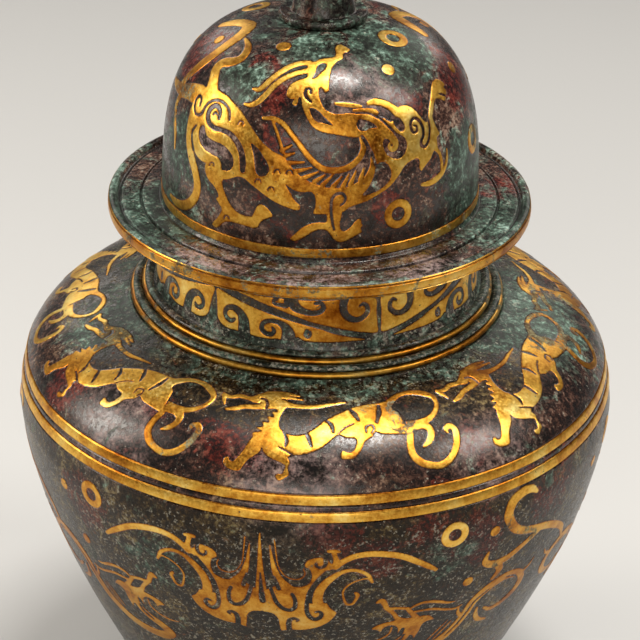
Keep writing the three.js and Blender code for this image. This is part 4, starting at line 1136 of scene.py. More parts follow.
# %% Plates of the dragon
DRAGON_PLATES = [
    # haunch, body and belly plate
    [(-58.3, 35.2), (-59.5, 38.5), (-58, 42.4), (-54.5, 44.4), (-50, 45.6), (-46, 45), (-42, 44.6),
     (-37.5, 43.2), (-33.5, 41.6), (-30, 39.5), (-26.5, 37), (-23.4, 34.5), (-20, 32.4), (-17, 31),
     (-13, 29.6), (-10.5, 27.2), (-8, 25), (-5, 23.2), (-2, 22), (1.5, 21), (5, 20.6), (8.5, 20.6),
     (11.5, 21.4), (14.5, 22.8), (16.8, 24.8), (17.9, 27), (18.6, 29.4), (19.6, 26.8), (19, 24.2),
     (17.4, 21.4), (15, 18), (12, 16), (8, 14), (5.5, 12), (2.4, 12), (0, 11.9), (-2, 12.2), (-1.4, 14.2),
     (-1.3, 16.5), (-1.8, 18.4), (-3, 19.2), (-5.5, 19), (-8.4, 19.3), (-10.4, 20.3), (-11.7, 21),
     (-11.3, 20.2), (-9.8, 18.2), (-8.5, 16.2), (-6.7, 14.6), (-6.7, 13.2), (-8.6, 13), (-11, 13.6),
     (-13.5, 14.3), (-17, 15.6), (-21, 17.6), (-24.5, 19.3), (-27, 20.6), (-29.5, 20.8), (-32, 19.8),
     (-35.3, 18.6), (-38, 20), (-41, 21.4), (-44.4, 21.7), (-47.5, 21.8), (-50.3, 23), (-52.5, 25),
     (-53.8, 28), (-54.4, 31), (-56, 33.4)],
    # hind leg, from the knee to its claws
    [(-44.5, 20.6), (-44, 18.5), (-42.3, 16.5), (-39.8, 15.3), (-38, 13.8), (-37.3, 12.3), (-38.3, 11.2),
     (-37, 9.8), (-35.8, 8.5), (-36.5, 6.5), (-38.5, 3.8), (-40, 1.8), (-38.8, 1.2), (-37, 1.8),
     (-35.5, 3.3), (-34, 4.4), (-31.5, 5), (-28.5, 5.1), (-25, 4.9), (-22.5, 4.9), (-21.2, 5.5),
     (-20.6, 6.7), (-19.3, 8.2), (-17.3, 9.2), (-16, 9.9), (-16.6, 11.2), (-18, 12.5), (-19.6, 13.3),
     (-21, 13.1), (-22, 12), (-22.7, 10.3), (-23.6, 8.8), (-25.4, 8.4), (-28, 8.6), (-30.3, 9.5),
     (-32.5, 11.3), (-34.4, 13.8), (-35.6, 16), (-36, 17.6), (-35.4, 19), (-37, 21.8), (-40.5, 23),
     (-43.4, 22.6)],
    # foreleg under the body, with a claw to either side
    [(-9.7, 3), (-8, 5), (-5.5, 7.3), (-3, 8.6), (0, 9.2), (2.4, 9.3), (2.8, 13), (7.5, 13), (7.1, 8.6),
     (7.4, 6.8), (8.6, 6), (10, 6.7), (11.6, 8.2), (13, 9.7), (14.5, 10), (14.5, 8.6), (15, 7.7),
     (14.4, 6.6), (14.8, 5.5), (12.4, 4.2), (10, 3), (7.4, 2.3), (5.4, 3.2), (4.1, 4.8), (2.9, 6.3),
     (1, 6.8), (-1.6, 6.2), (-4, 4.6), (-6.4, 3.1), (-8, 2.4)],
    # head and neck
    [(-8, 62.1), (-4.4, 62), (-2, 63), (1, 63.6), (5, 64), (8, 64.6), (9, 66.6), (9.5, 69), (12, 70.6),
     (15, 70.4), (17.6, 69), (19.2, 67.5), (17.4, 66.4), (15, 66.2), (13.3, 65.2), (12.6, 63.6), (10, 62.8),
     (7.6, 61.6), (5.4, 59.8), (4.2, 57.4), (3.5, 55), (3.3, 53), (2.9, 51), (1.3, 50.7), (.4, 51.8),
     (-.9, 52), (-1.4, 51), (-.9, 48.8), (.2, 46.5), (2, 44.8), (5, 43.8), (9, 43.6), (13.4, 43.4),
     (16, 40), (14.6, 36.4), (10, 36.6), (5.6, 37.3), (1.6, 37.9), (-2, 39), (-4.6, 41), (-6.5, 43.6),
     (-7.9, 46.2), (-8.7, 48.4), (-10.4, 48.7), (-12.4, 47.8), (-14.8, 48.4), (-15.1, 50.2), (-14.6, 52.2),
     (-12.8, 53.6), (-10, 54.8), (-7.6, 55.6), (-7.4, 57.6)],
    # breast, second haunch and the raised leg with its claws
    [(9, 43.6), (13.4, 43.4), (17, 43.2), (21, 42.4), (25, 41), (28, 39.5), (31, 41.8), (32.2, 43.4),
     (35, 43.7), (37.5, 43.1), (39.6, 41.5), (41.1, 39.4), (42.4, 37.6), (43.6, 36.6), (45, 37.6),
     (46.4, 39.8), (48.6, 42.1), (50.6, 44.1), (52.6, 46), (55.5, 47.6), (58.5, 47.8), (61, 46.3),
     (62, 44.8), (60.3, 44.4), (60.8, 43.1), (59.5, 41.8), (57.4, 43), (55.2, 43.4), (56.6, 42.4),
     (58.4, 41.4), (57.4, 40.4), (55, 41.5), (53, 42.3), (50.6, 41.3), (49, 39.3), (47.4, 37.4),
     (47.6, 35.6), (48.4, 33.4), (49.2, 31.6), (47.6, 31), (47.1, 29), (47, 27.6), (45.4, 27.5), (44, 26.3),
     (43, 25), (41, 23.8), (39.5, 22.8), (38.2, 22), (37.5, 23.3), (37.8, 25.3), (37, 26.4), (35.4, 26.4),
     (33, 25.8), (31, 24.8), (28.6, 22.4), (25, 19.4), (20, 17), (16.5, 15.6), (13, 14.8), (10, 13.8),
     (8, 12.6), (5.4, 12.8), (5.2, 17), (10, 20.5), (14.5, 22.4), (16.4, 24.6), (17.8, 27), (18.1, 29.4),
     (18.2, 31.4), (16.8, 33.8), (15.2, 36.4), (10, 36.6), (9, 40)],
]
print("dragon plates:", len(DRAGON_PLATES))

# %% Dark places inside the dragon
DRAGON_POOLS = [
    [(-26, 32.3), (-23.6, 31.4), (-20.6, 29), (-18.4, 26.4), (-18, 24.5), (-19.4, 22.9), (-21.6, 22.5),
     (-23, 23.7), (-23.7, 26.2), (-24.6, 29.4)],
    [(-48.4, 33), (-46, 30.4), (-42.4, 29.6), (-38.4, 29.5), (-35, 28.5), (-32.9, 26.9), (-32, 24.8),
     (-32.6, 22.6), (-34.4, 21.6), (-36.6, 21.6), (-37.2, 23.2), (-38.6, 24.7), (-41.4, 25.1),
     (-44.4, 25.4), (-47.2, 26.3), (-49.2, 27.8), (-50.3, 30), (-50, 32.2)],
    [(15, 17.7), (17.2, 20.2), (19.1, 23.6), (20.1, 26.4), (21.6, 27.6), (23.6, 27.3), (25.4, 25.2),
     (25.7, 22.8), (24, 20.5), (20, 18.4)],
    [(28.6, 36.2), (30.6, 35.2), (32.6, 33.6), (33.1, 31.4), (32, 29.2), (30, 27.9), (27.8, 27.8),
     (25.4, 29), (23.7, 31), (23.3, 33.2), (24.3, 34.8), (26, 34.4), (27, 36.6)],
    [(13.6, 40.2), (14.8, 41.6), (17.4, 41.3), (20.2, 40), (22, 38.5), (19.4, 38.6), (16.4, 37.9),
     (14.3, 38.5)],
    [(29.5, 40.5), (31.5, 40.3), (33, 38.5), (33.2, 36.8), (31.8, 35.8), (30, 37), (28.8, 39)],
    [(-4.8, 55.2), (-3.5, 57.5), (-2.8, 60), (-.5, 61.4), (2.3, 61.2), (1.8, 59.3), (-1, 57.3), (-3, 55.6)],
    [(-4.6, 45.4), (-3, 45.4), (-.8, 44.4), (1.6, 42.4), (4.5, 40.2), (1.4, 40.7), (-2, 41.5), (-4, 43.3)],
]
print("dragon pools:", len(DRAGON_POOLS))

# %% Strokes of the dragon
FRINGE_ROOT, FRINGE_TIP = 1.6, 0.6
DRAGON_STROKES = [
    # horns
    [(-30.6, 49, .8), (-28, 49.2, 1.6), (-26, 51, 1.9), (-24, 53.6, 2), (-21, 56.5, 2.1), (-17, 59.2, 2.1),
     (-12, 61, 2.1), (-7, 61.3, 2)],
    [(-32.2, 43.6, .8), (-29.4, 43.8, 1.6), (-26.5, 45.4, 1.8), (-24, 48.2, 1.9), (-22, 51, 2),
     (-19, 53.8, 2), (-15, 56, 2), (-10, 57.6, 2), (-6, 58.4, 2.4)],
    [(-11, 46.6, 1.6), (-10.4, 48.4, 1)],
    # crest, tail and the leg that hangs from the haunch
    [(-51, 44, 5.4), (-53.4, 47.6, 4), (-56, 51, 4), (-54.4, 53.6, 3.6), (-50, 55.2, 3.6), (-47, 57.4, 3.2),
     (-47.6, 60.4, 2.8), (-51, 62.8, 2.2), (-55.6, 64, 1.7), (-60, 64.6, .9)],
    [(-73.8, 39.6, 3), (-71.3, 43.6, 3.3), (-68.2, 48.2, 3.7), (-65.8, 53, 3.9), (-64.6, 58, 4.1),
     (-65.8, 63.2, 4.3), (-70, 67, 4.5), (-77, 69, 4.7), (-85, 67, 4.9), (-90, 64, 4.6), (-94, 60, 3.4)],
    [(-57, 40.6, 7), (-64, 39.8, 5.6), (-71, 38, 4.4), (-79, 37.1, 3.2), (-87, 36.8, 1.3)],
    [(-70, 37.6, 3), (-72, 33, 2.2), (-69.4, 28.4, 2), (-66.4, 24.4, 2), (-65, 20, 1.2)],
    [(-56.6, 36, 4.2), (-56.3, 31, 3.7), (-55.2, 26, 3.5), (-52.6, 21.5, 3.4), (-49.4, 17, 3.4),
     (-47.9, 13, 3.4), (-48.4, 9.6, 3.4), (-50.6, 6.5, 3.4), (-54, 4, 3.4), (-58, 2.6, 3.2),
     (-62.5, 2.1, 2.8), (-66.5, 2.6, 1.4)],
    # the long whip and its branch
    [(-22.8, 40.6, 1), (-19, 41, 1.5), (-14.6, 39.8, 1.6), (-11, 37, 1.6), (-8, 34.3, 1.7), (-5, 31.3, 1.8),
     (-2, 28.6, 1.9), (1.2, 26.8, 2), (5, 26.2, 2.1), (9, 26.7, 2.1), (12.2, 28.2, 2), (14.6, 30.4, 1.9),
     (15.8, 33, 1.9), (15.6, 36, 2.2)],
    [(-18.6, 40, .9), (-16.6, 37.2, 1), (-14.8, 34, 1), (-13.4, 31, 1.2)],
    # mane
    [(34, 39.5, 4), (31.6, 41.8, 3), (29.3, 43.9, 2.4), (26, 45.7, 2.3), (22.5, 46.5, 2.2),
     (19.6, 46.3, 1.2)],
    [(5.8, 46.9, .8), (9, 46.6, 1.4), (13, 46.1, 1.4), (16.2, 45.6, 1)],
    [(13, 44.5, .9), (17, 44.3, 1.3), (20, 44, 1.5), (22.4, 43.2, 1.6)],
    # whisker and sickle below the second haunch
    [(45.6, 27.8, 1.6), (47.5, 25.8, 1.3), (48.3, 22.8, 1.3), (48.2, 19.6, 1.4)],
    [(51.9, 25.8, .7), (51.4, 23, 1.1), (50.2, 20.6, 1.4), (48, 18.8, 2), (45, 17.6, 2.3), (41.5, 17.1, 2),
     (38.2, 17.4, 1.1)],
]
# the fringe along the upper edge of the body, each tuft from its root to its tip
FRINGE = [((-14, 31.6), (-10.4, 33.6)), ((-12.4, 30.2), (-9.2, 31.2)), ((-11, 28), (-5.6, 28.6)),
          ((-8.4, 25.6), (-3, 27)), ((-5.6, 23.6), (-.5, 25.8)), ((-1.8, 22.6), (1.9, 24.9)),
          ((1, 21.6), (4.6, 24.9)), ((4.6, 21), (7.7, 24.3)), ((7.9, 20.9), (10.3, 25)),
          ((10.6, 21.4), (12.7, 25.8)), ((14.2, 22.8), (15.6, 26.4))]
DRAGON_STROKES += [[(*root, FRINGE_ROOT), (*tip, FRINGE_TIP)] for root, tip in FRINGE]
print("dragon strokes:", len(DRAGON_STROKES))

# %% Lines cut in the dragon
DRAGON_CUTS = [
    # spirals of the haunch
    [(-41.8, 36.8, 1), (-42.2, 39, 1.5), (-44.6, 40.4, 1.7), (-47, 39.2, 1.8), (-47.7, 36.8, 1.8),
     (-46.4, 34.6, 1.8), (-43.4, 33.6, 1.7), (-39, 33.8, 1.6), (-35, 33.3, 1.8), (-31.6, 31.4, 2),
     (-29.4, 28.8, 2.2), (-28.3, 25.6, 2.3), (-28.1, 23.2, 1.9)],
    [(-36.8, 37.6, .8), (-38, 40.2, .9), (-41, 41.8, .9), (-45, 42.1, .9), (-48.6, 40.8, .9),
     (-50.6, 38.4, .9), (-51.4, 36.2, 1), (-53.2, 35, 1), (-55.4, 35.1, 1), (-57, 36.6, 1),
     (-57.7, 38.6, 1), (-56.9, 40.3, 1), (-55.5, 40.6, .9), (-54.3, 39.4, .9), (-54.1, 38, .9)],
    [(-43, 37.6, .6), (-44.2, 38.3, .7), (-45, 37.4, .7)],
    [(-52.8, 31.6, .8), (-54.2, 29.5, 1), (-53.7, 27, 1), (-51.8, 23.9, 1.2)],
    # spiral of the second haunch, running out along the raised leg
    [(37.4, 36.8, .6), (38.5, 36.4, .7), (38.3, 35, .8), (37, 34.6, .9), (36, 35.8, 1), (36.3, 38, 1),
     (38.3, 39, 1), (40.3, 37.8, 1.1), (41.3, 35.4, 1.1), (40.9, 33, 1.1), (39.5, 31.4, 1.1),
     (39.4, 30, 1.1), (40.8, 29.4, 1.1), (42.6, 30.5, 1), (43.8, 32.4, .9), (44.6, 34.6, .8), (45, 37, .8)],
    # line between body and breast, leg spiral, mouth and mane lines
    [(15.4, 36.4, .9), (16.6, 34.6, 1.3), (17.6, 32.6, 1.2), (18.8, 30.6, 1.1), (19.5, 28.6, .9),
     (20, 26.8, .8)],
    [(5.2, 6.6, .7), (4.4, 10, .9), (4, 14, .9), (4.3, 17, .9), (5.8, 18.6, 1), (7.8, 18.7, 1),
     (8.9, 17.3, .9), (8.3, 15.6, .8), (7.3, 14.9, .7)],
    [(-6.8, 51.4, .9), (-7.2, 50, 1.1), (-6.3, 48.6, 1.2), (-4.4, 47.4, .9)],
    [(-5.8, 51.7, .7), (-4.9, 51.2, .9), (-4.8, 50.2, .8)],
    [(14, 43.9, .5), (19, 43.2, .7), (23, 41.2, .9), (26, 38.6, 1.1), (28.4, 36, 1.4)],
    [(22.8, 44.4, .8), (25, 43.4, 2.4), (27.4, 42, 2.2), (29, 41.4, .8)],
]
# a curl of gold in a dark place of the breast, and small curved scales on the body
DRAGON_TONGUES = [
    [(22, 40.2, 2.2), (25, 37.2, 2.4), (27.3, 34.6, 2.4), (28.4, 32.8, 2.2), (27.9, 31.3, 1.8),
     (26.6, 31, 1.5), (25.7, 32, 1.2), (26.2, 33, .9)],
]
SCALES = [(-31.6, 37.4), (-22, 20.6), (-17, 18.8), (-15.2, 24.6), (-10.8, 24.8), (-41.4, 21.8),
          (-33.6, 5.8)]
SCALE_ARC, SCALE_WIDTH = [(-1.1, -.4), (-.5, .7), (.8, .8), (1.2, -.2)], .5
DRAGON_CUTS += [[(turn + across, height + rise, SCALE_WIDTH) for across, rise in SCALE_ARC]
                for turn, height in SCALES]
print("dragon cuts:", len(DRAGON_CUTS))

# %% Dragons, rings and dots on the dome
DOME_RINGS = [(28.2, 9.7), (59.4, 67.4), (73, 22.4)]
DOME_DOTS = [(-28.4, 67.6, 2.4), (35.3, 56.4, 2.1), (76, 47, 2.1), (-75.1, 58.2, 2)]
DOME_DRAGONS = 2
dome_wall = Wall(dome)
dragon = drawing(dome_wall, DRAGON_STROKES, DRAGON_CUTS, DRAGON_PLATES, DRAGON_POOLS, DRAGON_TONGUES,
                 lattice=FIGURE_LATTICE)
dome_dots = dot_drawing(dome_wall, DOME_DOTS)
for i in range(DOME_DRAGONS):
    axis = 360 / DOME_DRAGONS * i
    lay(f"dragon_gold_{i + 1}", f"dome_dragon_{i + 1}", "lid", dome_wall, dragon, axis)
    for n, (turn, height) in enumerate(DOME_RINGS):
        lay(f"dome_ring_gold_{i + 1}_{n + 1}", f"dome_ring_{i + 1}_{n + 1}", "lid", dome_wall,
            ring_drawing(dome_wall, turn, height), axis)
    lay(f"dome_dots_{i + 1}", None, "lid", dome_wall, dome_dots, axis)
print("dragon:", len(dragon[1]), "triangles")

# %% [markdown]
# ## The shoulder's tigers
#
# Seven tigers walk round the shoulder. The three in front are as wide as the photograph shows, and the
# four behind share what is left. Heights run up the shoulder from the top of the belt. The body is one
# plate, and the slimmer parts are strokes that run out of it.

# %% Body of the tiger
TIGER_PLATES = [
    [(-9.7, 30.4), (-10.2, 28.5), (-10.7, 26.5), (-10.8, 24), (-10.5, 21.7), (-9.7, 20.3), (-8.5, 19.3),
     (-6.6, 19.1), (-5, 19.8), (-3.5, 21.3), (-2.2, 23), (-1, 24.7), (.5, 26.2), (2.5, 27.8), (4.2, 29),
     (5.6, 29.9), (8.5, 30.8), (12, 31), (15.2, 31.2), (14.9, 29), (15, 27.6), (16, 26), (16.6, 24),
     (16.8, 22.4), (19, 22), (20.5, 20.5), (18, 18.5), (16.6, 17.8), (15, 18), (13, 18.5), (11, 19),
     (9.6, 20), (9, 18.6), (8, 17.6), (7, 16.5), (6.6, 15), (5.7, 13), (4.8, 11.6), (3.5, 11.2),
     (2.3, 11.5), (2.2, 12.8), (2.6, 14), (3.2, 13.5), (4, 13.3), (4.8, 14), (5.3, 15.5), (5.6, 17.2),
     (5.1, 18.2), (3.5, 18.5), (1.9, 19.6), (.2, 17.5), (-1.5, 15.2), (-3.5, 13.6), (-5.5, 12.7),
     (-7, 12.3), (-8, 11.6), (-7.6, 9.8), (-7.9, 8), (-7.6, 6), (-8.2, 5), (-9.4, 4), (-10, 5.2),
     (-9.8, 5.9), (-8.9, 6), (-8.5, 7), (-8.4, 8.8), (-9.5, 9.8), (-11, 10.7), (-12.5, 12), (-13.1, 13.4),
     (-13.3, 14.2), (-13.6, 12.6), (-14.5, 11), (-15.5, 9.5), (-16.2, 7.5), (-16.8, 5.7), (-18, 5.4),
     (-19.3, 6), (-20.1, 7.2), (-20, 8.8), (-19.5, 9.4), (-18.9, 8.2), (-18.2, 8.3), (-17.5, 10),
     (-16.7, 12.5), (-16.2, 15), (-15.6, 17.4), (-15.8, 18.6), (-14.2, 19.5), (-15.3, 20.5), (-14, 21.4),
     (-14.3, 23), (-12.9, 23.2), (-13.6, 25.2), (-12.2, 25.4), (-12.8, 27.3), (-11.6, 27.6), (-12.2, 28.6),
     (-14.3, 28.4), (-16, 30), (-15.5, 32), (-13, 33.5), (-10, 32.4)],
]
print("tiger outline:", len(TIGER_PLATES[0]), "points")

# %% Strokes and stripes of the tiger
TIGER_STROKES = [
    [(-17.6, 31.6, 3), (-15.6, 33, 4), (-13.2, 33.4, 4.6), (-11.4, 32, 4)],
    [(-15, 34.6, 2.6), (-12.5, 35.4, 2.2), (-10, 35.7, 1.5), (-7, 35, .7)],
    [(-12.5, 34, 2.4), (-9.5, 34.1, 1.4), (-6, 33.4, .6)],
    [(-11, 31.4, 3), (-8, 30.6, 1.7), (-5, 30.5, 1.6), (-2, 30.9, 1.5), (.5, 31.7, 1.2), (4.3, 32.4, .6)],
    [(-25.6, 31, 1.5), (-23.6, 30.7, 1.5), (-21.6, 31.8, 1.9), (-19.4, 31.6, 1.6), (-17, 31.6, 3)],
    [(-25.6, 31.2, 1.5), (-24.9, 29.2, 1.3), (-24.2, 27.2, .6)],
    [(-23.2, 25.6, 1.2), (-21.4, 26.4, 1.8), (-19.5, 27.8, 1.8), (-17, 28.4, 2), (-14.5, 29.2, 2.4)],
    [(16.9, 17.6, 2.2), (16.2, 13.8, 2.3), (16.2, 10.6, 2.5), (17.4, 7.8, 2.5), (19.4, 6.2, 2.2),
     (21.4, 5.7, 2.2), (23.6, 7.2, 2.2), (25.4, 10.4, 2.2), (26.3, 13.6, 2.2), (26.5, 15.8, 2.2),
     (25.8, 17.4, 2), (24.7, 16.7, 1.6), (24.7, 15.4, .8)],
    [(14, 29.6, 3), (15.8, 31.6, 2.2), (17.6, 32.9, 1.8), (20, 33.4, 1.6), (22.4, 32.8, 2.1),
     (24.4, 31.4, 2.3), (25.8, 29.4, 1.8), (25.8, 27, 1.5), (25, 24.8, 1.6), (23.6, 22.8, 1.8),
     (21.5, 21.3, 2.2), (18.5, 20.6, 3)],
    [(17.5, 20.4, 4), (20, 20, 3.2), (21.3, 18.2, 2.4), (21.2, 16, 2.2), (20.3, 14, 2), (18.8, 12.5, .8)],
]
TIGER_CUTS = [
    [(-9.6, 20.2, .5), (-8.9, 18.4, .9), (-8.6, 16.8, 1.2), (-8.8, 15, .6)],
    [(-4.8, 20.3, .8), (-4.2, 18.2, 1.4), (-3.6, 15.5, .8)],
    [(-.7, 25.3, .7), (.5, 23.4, 1.3), (.9, 20.6, .7)],
    [(5, 29.5, .9), (6, 27.3, 1.5), (6.6, 24.8, .8)],
    [(12, 29.9, 1), (11.6, 27, 1.6), (10.5, 23.4, .8)],
    [(1.8, 19.9, .5), (3.6, 22.3, .5), (5.3, 23.5, .5)],
    [(7.8, 20, .5), (8, 22, .6), (9.3, 22.5, .6), (9.6, 21, .6), (8.9, 19.6, .5)],
    [(16.2, 26, .6), (16.5, 23, .6), (16.7, 20.8, .5)],
    [(-16.2, 32.4, .8), (-15, 32, .9), (-14.4, 30.4, .9), (-14.3, 28.6, .8)],
    [(-10, 14.5, .5), (-8.6, 13.6, .6), (-7, 12.2, .7)],
    [(-11, 33.2, .5), (-8, 32.3, .7), (-4, 31.9, .6)],
]
print("tiger:", len(TIGER_STROKES), "strokes and", len(TIGER_CUTS), "cuts")

# %% Tigers on the shoulder
FRONT_PITCH, FRONT_MIDDLE, TIGERS, FRONT_TIGERS = 53.5, 3, 7, 3
shoulder_wall = Wall(shoulder)
tiger = drawing(shoulder_wall, TIGER_STROKES, TIGER_CUTS, TIGER_PLATES, lattice=FIGURE_LATTICE)
back_pitch = (360 - FRONT_TIGERS * FRONT_PITCH) / (TIGERS - FRONT_TIGERS)
edge = FRONT_MIDDLE - FRONT_TIGERS * FRONT_PITCH / 2
for i in range(TIGERS):
    pitch = FRONT_PITCH if i < FRONT_TIGERS else back_pitch
    lay(f"tiger_gold_{i + 1}", f"shoulder_tiger_{i + 1}", "jar", shoulder_wall, tiger, edge + pitch / 2,
        pitch / FRONT_PITCH)
    edge += pitch
print("tiger:", len(tiger[1]), "triangles")

# %% [markdown]
# ## The belly
#
# Three palmettes stand between pairs of dragons, with a cloud scroll behind each pair's backs. Here a
# drawing's heights run down from the belt, so they are turned over when the strokes are read. A palmette
# is drawn as one half and mirrored, as a maker would cut it from folded paper.

# %% Half of the palmette
PALMETTE_STEM = [
    [(0, 4.5, .5), (0, 9, 1), (0, 15, 1.6), (0, 20, 2.2), (0, 26, 3.4), (0, 36, 4)],
]
PALMETTE_PLATES = [
    [(-.5, 30), (1.6, 27), (3.8, 24.8), (5.5, 25.4), (7, 25.5), (8.6, 24.2), (9.2, 21.8), (9.2, 19.5),
     (8.7, 17.4), (8.1, 16.8), (8, 15.2), (8.6, 13.8), (9.8, 12.9), (11, 12.7), (11.9, 13.3), (12.4, 14.8),
     (13, 15.4), (14.4, 15.2), (14, 16.6), (12.6, 17.8), (11.4, 19.6), (10.2, 22.4), (9.2, 25.8), (8.7, 29),
     (8.6, 32.8), (12, 33), (12.6, 34.8), (13.2, 36.3), (14, 37.5), (13.5, 40), (12.5, 42.5), (10.9, 44.7),
     (9.1, 46), (7.3, 46.7), (5.6, 46.8), (4.2, 47.4), (2.9, 47.6), (2.9, 43), (0, 38), (-.5, 34)],
]
PALMETTE_STROKES = [
    [(1.8, 8.5, .4), (2, 12, .8), (2.3, 16, 1.4), (2.8, 20, 2.2), (3.6, 23.4, 3), (5, 26.4, 3.6)],
    [(13.4, 16.6, 2.4), (14.6, 14.6, 2.3), (16.6, 12.6, 2.3), (19.5, 11.9, 2.4), (22.8, 12.8, 2.5),
     (25.7, 14.7, 2.4), (28.2, 17.5, 2.3), (30.4, 20.3, 2.1), (32.2, 22.8, 1.5)],
    [(12.1, 10.1, 1.3), (13, 10.1, 1.6), (13.9, 10.3, 1.2)],
    [(13, 10.4, 1.8), (13.2, 12, 1.6), (13.5, 14, 1.9), (13.5, 16, 2.6)],
    [(20.2, 24.2, 1), (19.4, 21, 1.4), (17.8, 18.9, 1.4), (16.2, 18.3, 1.4), (14.5, 19.1, 1.7),
     (13.1, 21, 2.3), (11.8, 23.5, 2.8), (10.9, 26.3, 3), (10.5, 28.8, 3.2), (10.4, 31.9, 3.4),
     (10.8, 34.7, 3.6)],
    [(20.2, 24, 1), (19.3, 22.4, .7), (17.7, 22.8, .6), (15.9, 24.8, .7), (15, 27.6, .7), (15.2, 31, .8),
     (15.9, 33.8, 1), (16.8, 33.8, 1), (17.4, 32, 1.1), (17.7, 29.6, 1.5), (17.3, 28.6, 1.1)],
    [(2.6, 6.4, .5), (2.9, 12, .5), (3.3, 17, .5), (4.4, 20.8, .5), (6, 22.3, .6), (7.4, 21.6, .6),
     (8, 19.6, .5), (7.7, 17.4, .5)],
]
print("palmette:", len(PALMETTE_STROKES), "strokes on each side")

# %% Lines cut in the palmette
PALMETTE_CUTS = [
    [(.9, 10, .6), (1.1, 15, .7), (1.4, 20, .9), (1.6, 25, 1.1), (2.2, 30, 1.3), (2.9, 33.8, 1.5),
     (4.1, 36.3, 1.6), (5.3, 36.8, 1.6), (6.1, 35.6, 1.5), (6.3, 33.2, 1.4), (6.15, 31, 1.3),
     (5.7, 29, 1.2)],
    [(2.5, 21.5, .6), (2.9, 24.5, 1.5), (3.3, 27, 1.4)],
    [(11.1, 9.6, 1.2), (11.5, 12.5, 1.3), (11.65, 15, 1.3), (11.3, 16.4, 1.2), (10.55, 16.9, 1),
     (10, 16, .9), (10, 15.1, .8)],
    [(12, 18.8, 1.6), (10.75, 21.6, 1.7), (9.65, 25, 1.6), (8.9, 28, 1.5), (8.55, 31.2, 1.4),
     (8.4, 34.4, 1.4), (8.5, 37.5, 1.5), (9.1, 39.9, 1.7), (10, 40.9, 1.7), (10.9, 40, 1.6),
     (11.2, 38.2, 1.4), (10.75, 37, 1.1), (10.1, 37.3, .8)],
    [(5.1, 47.4, 1.8), (5, 43.6, 1.8), (5.3, 41.6, 1.6), (6.1, 40.9, 1.4), (6.8, 41.6, 1), (6.5, 42.3, .7)],
]
PALMETTE_FLUTE = [
    [(0, 20.5, .5), (0, 26, 1.2), (.1, 31, 2), (.2, 33.4, 2)],
]
PALMETTE_POOLS = [
    [(-3.1, 48.6), (-3.2, 44), (-2.9, 41), (-2, 39.2), (0, 38.6), (2, 39.1), (2.9, 41.2), (3.2, 44.4),
     (3.1, 48.6)],
]
print("palmette:", len(PALMETTE_CUTS), "cuts on each side")

# %% Dragon of the belly
BELLY_DRAGON_PLATES = [
    [(21.2, 47.6), (22.1, 46), (23.7, 45), (25.3, 44.5), (26.8, 43.8), (28.6, 44.3), (30, 44.8),
     (31.9, 44.7), (33.1, 45.5), (34, 47.2), (34.3, 48), (33, 48), (32, 49), (31.7, 50.6), (31.5, 53.1),
     (31.1, 55.3), (30.7, 56.8), (30.4, 55), (29.7, 54), (29, 54), (28.2, 55.4), (28.6, 53), (28.6, 51),
     (28.2, 49.7), (27.6, 49.2), (26.9, 52), (26.7, 49.4), (26.2, 47.8), (25.3, 46.8), (24.3, 46.9),
     (23.5, 48), (23.2, 49.8), (22.6, 48.8), (21.9, 48.1)],
]
BELLY_DRAGON_STROKES = [
    [(21.6, 34, 1.2), (22.4, 33.4, 2.2), (23.2, 35.6, 1.9), (23.6, 37.4, 1.9), (24.4, 38.6, 1.8)],
    [(23.8, 38, 1.6), (25.7, 38.2, 1.3), (27.9, 39.2, 1.4)],
    [(24.2, 38.6, 1.8), (25.3, 41, 1.5), (26, 43.2, 1.8), (26.8, 45, 3)],
    [(27.9, 39.4, 1.6), (28.8, 41.6, 1.7), (29.6, 43.6, 2), (30.2, 45.6, 3)],
    [(28.2, 39.6, .8), (29.7, 38.1, 1.2), (31.1, 37.7, 1.3), (33, 38.3, 1.4), (34.8, 39.5, 1.4),
     (36.6, 41, 1.1), (38, 41.4, .6)],
    [(28.6, 41.6, 1.2), (31.5, 41.8, 1.2), (33.3, 42.2, 1.3), (35.1, 43.4, 1.2), (36.9, 44.7, 1.2),
     (38.8, 45.5, 1.1), (40.2, 44.7, .6)],
    [(34.2, 60, .6), (36, 55.4, .9), (37.8, 51, .5)],
    [(35.6, 60.4, .6), (37.3, 56, .8), (38.8, 52, .5)],
    [(25.3, 48, .7), (25.1, 51, .8), (23.6, 53.5, .8), (20.8, 54.8, .8), (18.6, 54.4, .5)],
    [(29, 50, 2.6), (28.7, 54, 3), (26.8, 57.6, 3.6), (23.6, 60.4, 4), (22, 63.2, 4.2), (23.8, 66, 4.2),
     (28, 67.2, 4.2), (33, 66, 4.2), (37, 62.4, 4.2), (39.4, 58.4, 4), (40.8, 54.6, 4), (42, 50.4, 4),
     (43, 45.4, 4.2), (45.8, 40.8, 4.2), (50, 38.6, 4), (53.8, 40.4, 3.8), (55.8, 45, 3.6),
     (55.4, 49.4, 3.2), (52.8, 53, 2.8), (49.2, 54.2, 2), (47, 51.8, 1.2)],
    [(41.6, 52, 2), (39.9, 48.6, 1.4), (39.6, 45, .5)],
    [(54.6, 42, 2), (57.2, 39.6, 1.2), (58.2, 37, .5)],
    [(44.8, 50, 1), (45.2, 54, 2), (46.6, 57.6, 2), (49, 59.6, 1)],
]
BELLY_DRAGON_CUTS = [
    [(28.4, 53.2, .6), (27.6, 56, 1.2), (25.6, 58.4, .8)],
    [(38.6, 60, .5), (40.8, 54.6, .8), (42.2, 49.6, .8), (43.4, 45.2, .8), (46.2, 41.6, .6)],
    [(50.4, 39, .5), (53, 40.8, .8), (54.7, 45, .8), (54.3, 49, .6)],
]
print("belly dragon:", len(BELLY_DRAGON_STROKES), "strokes")

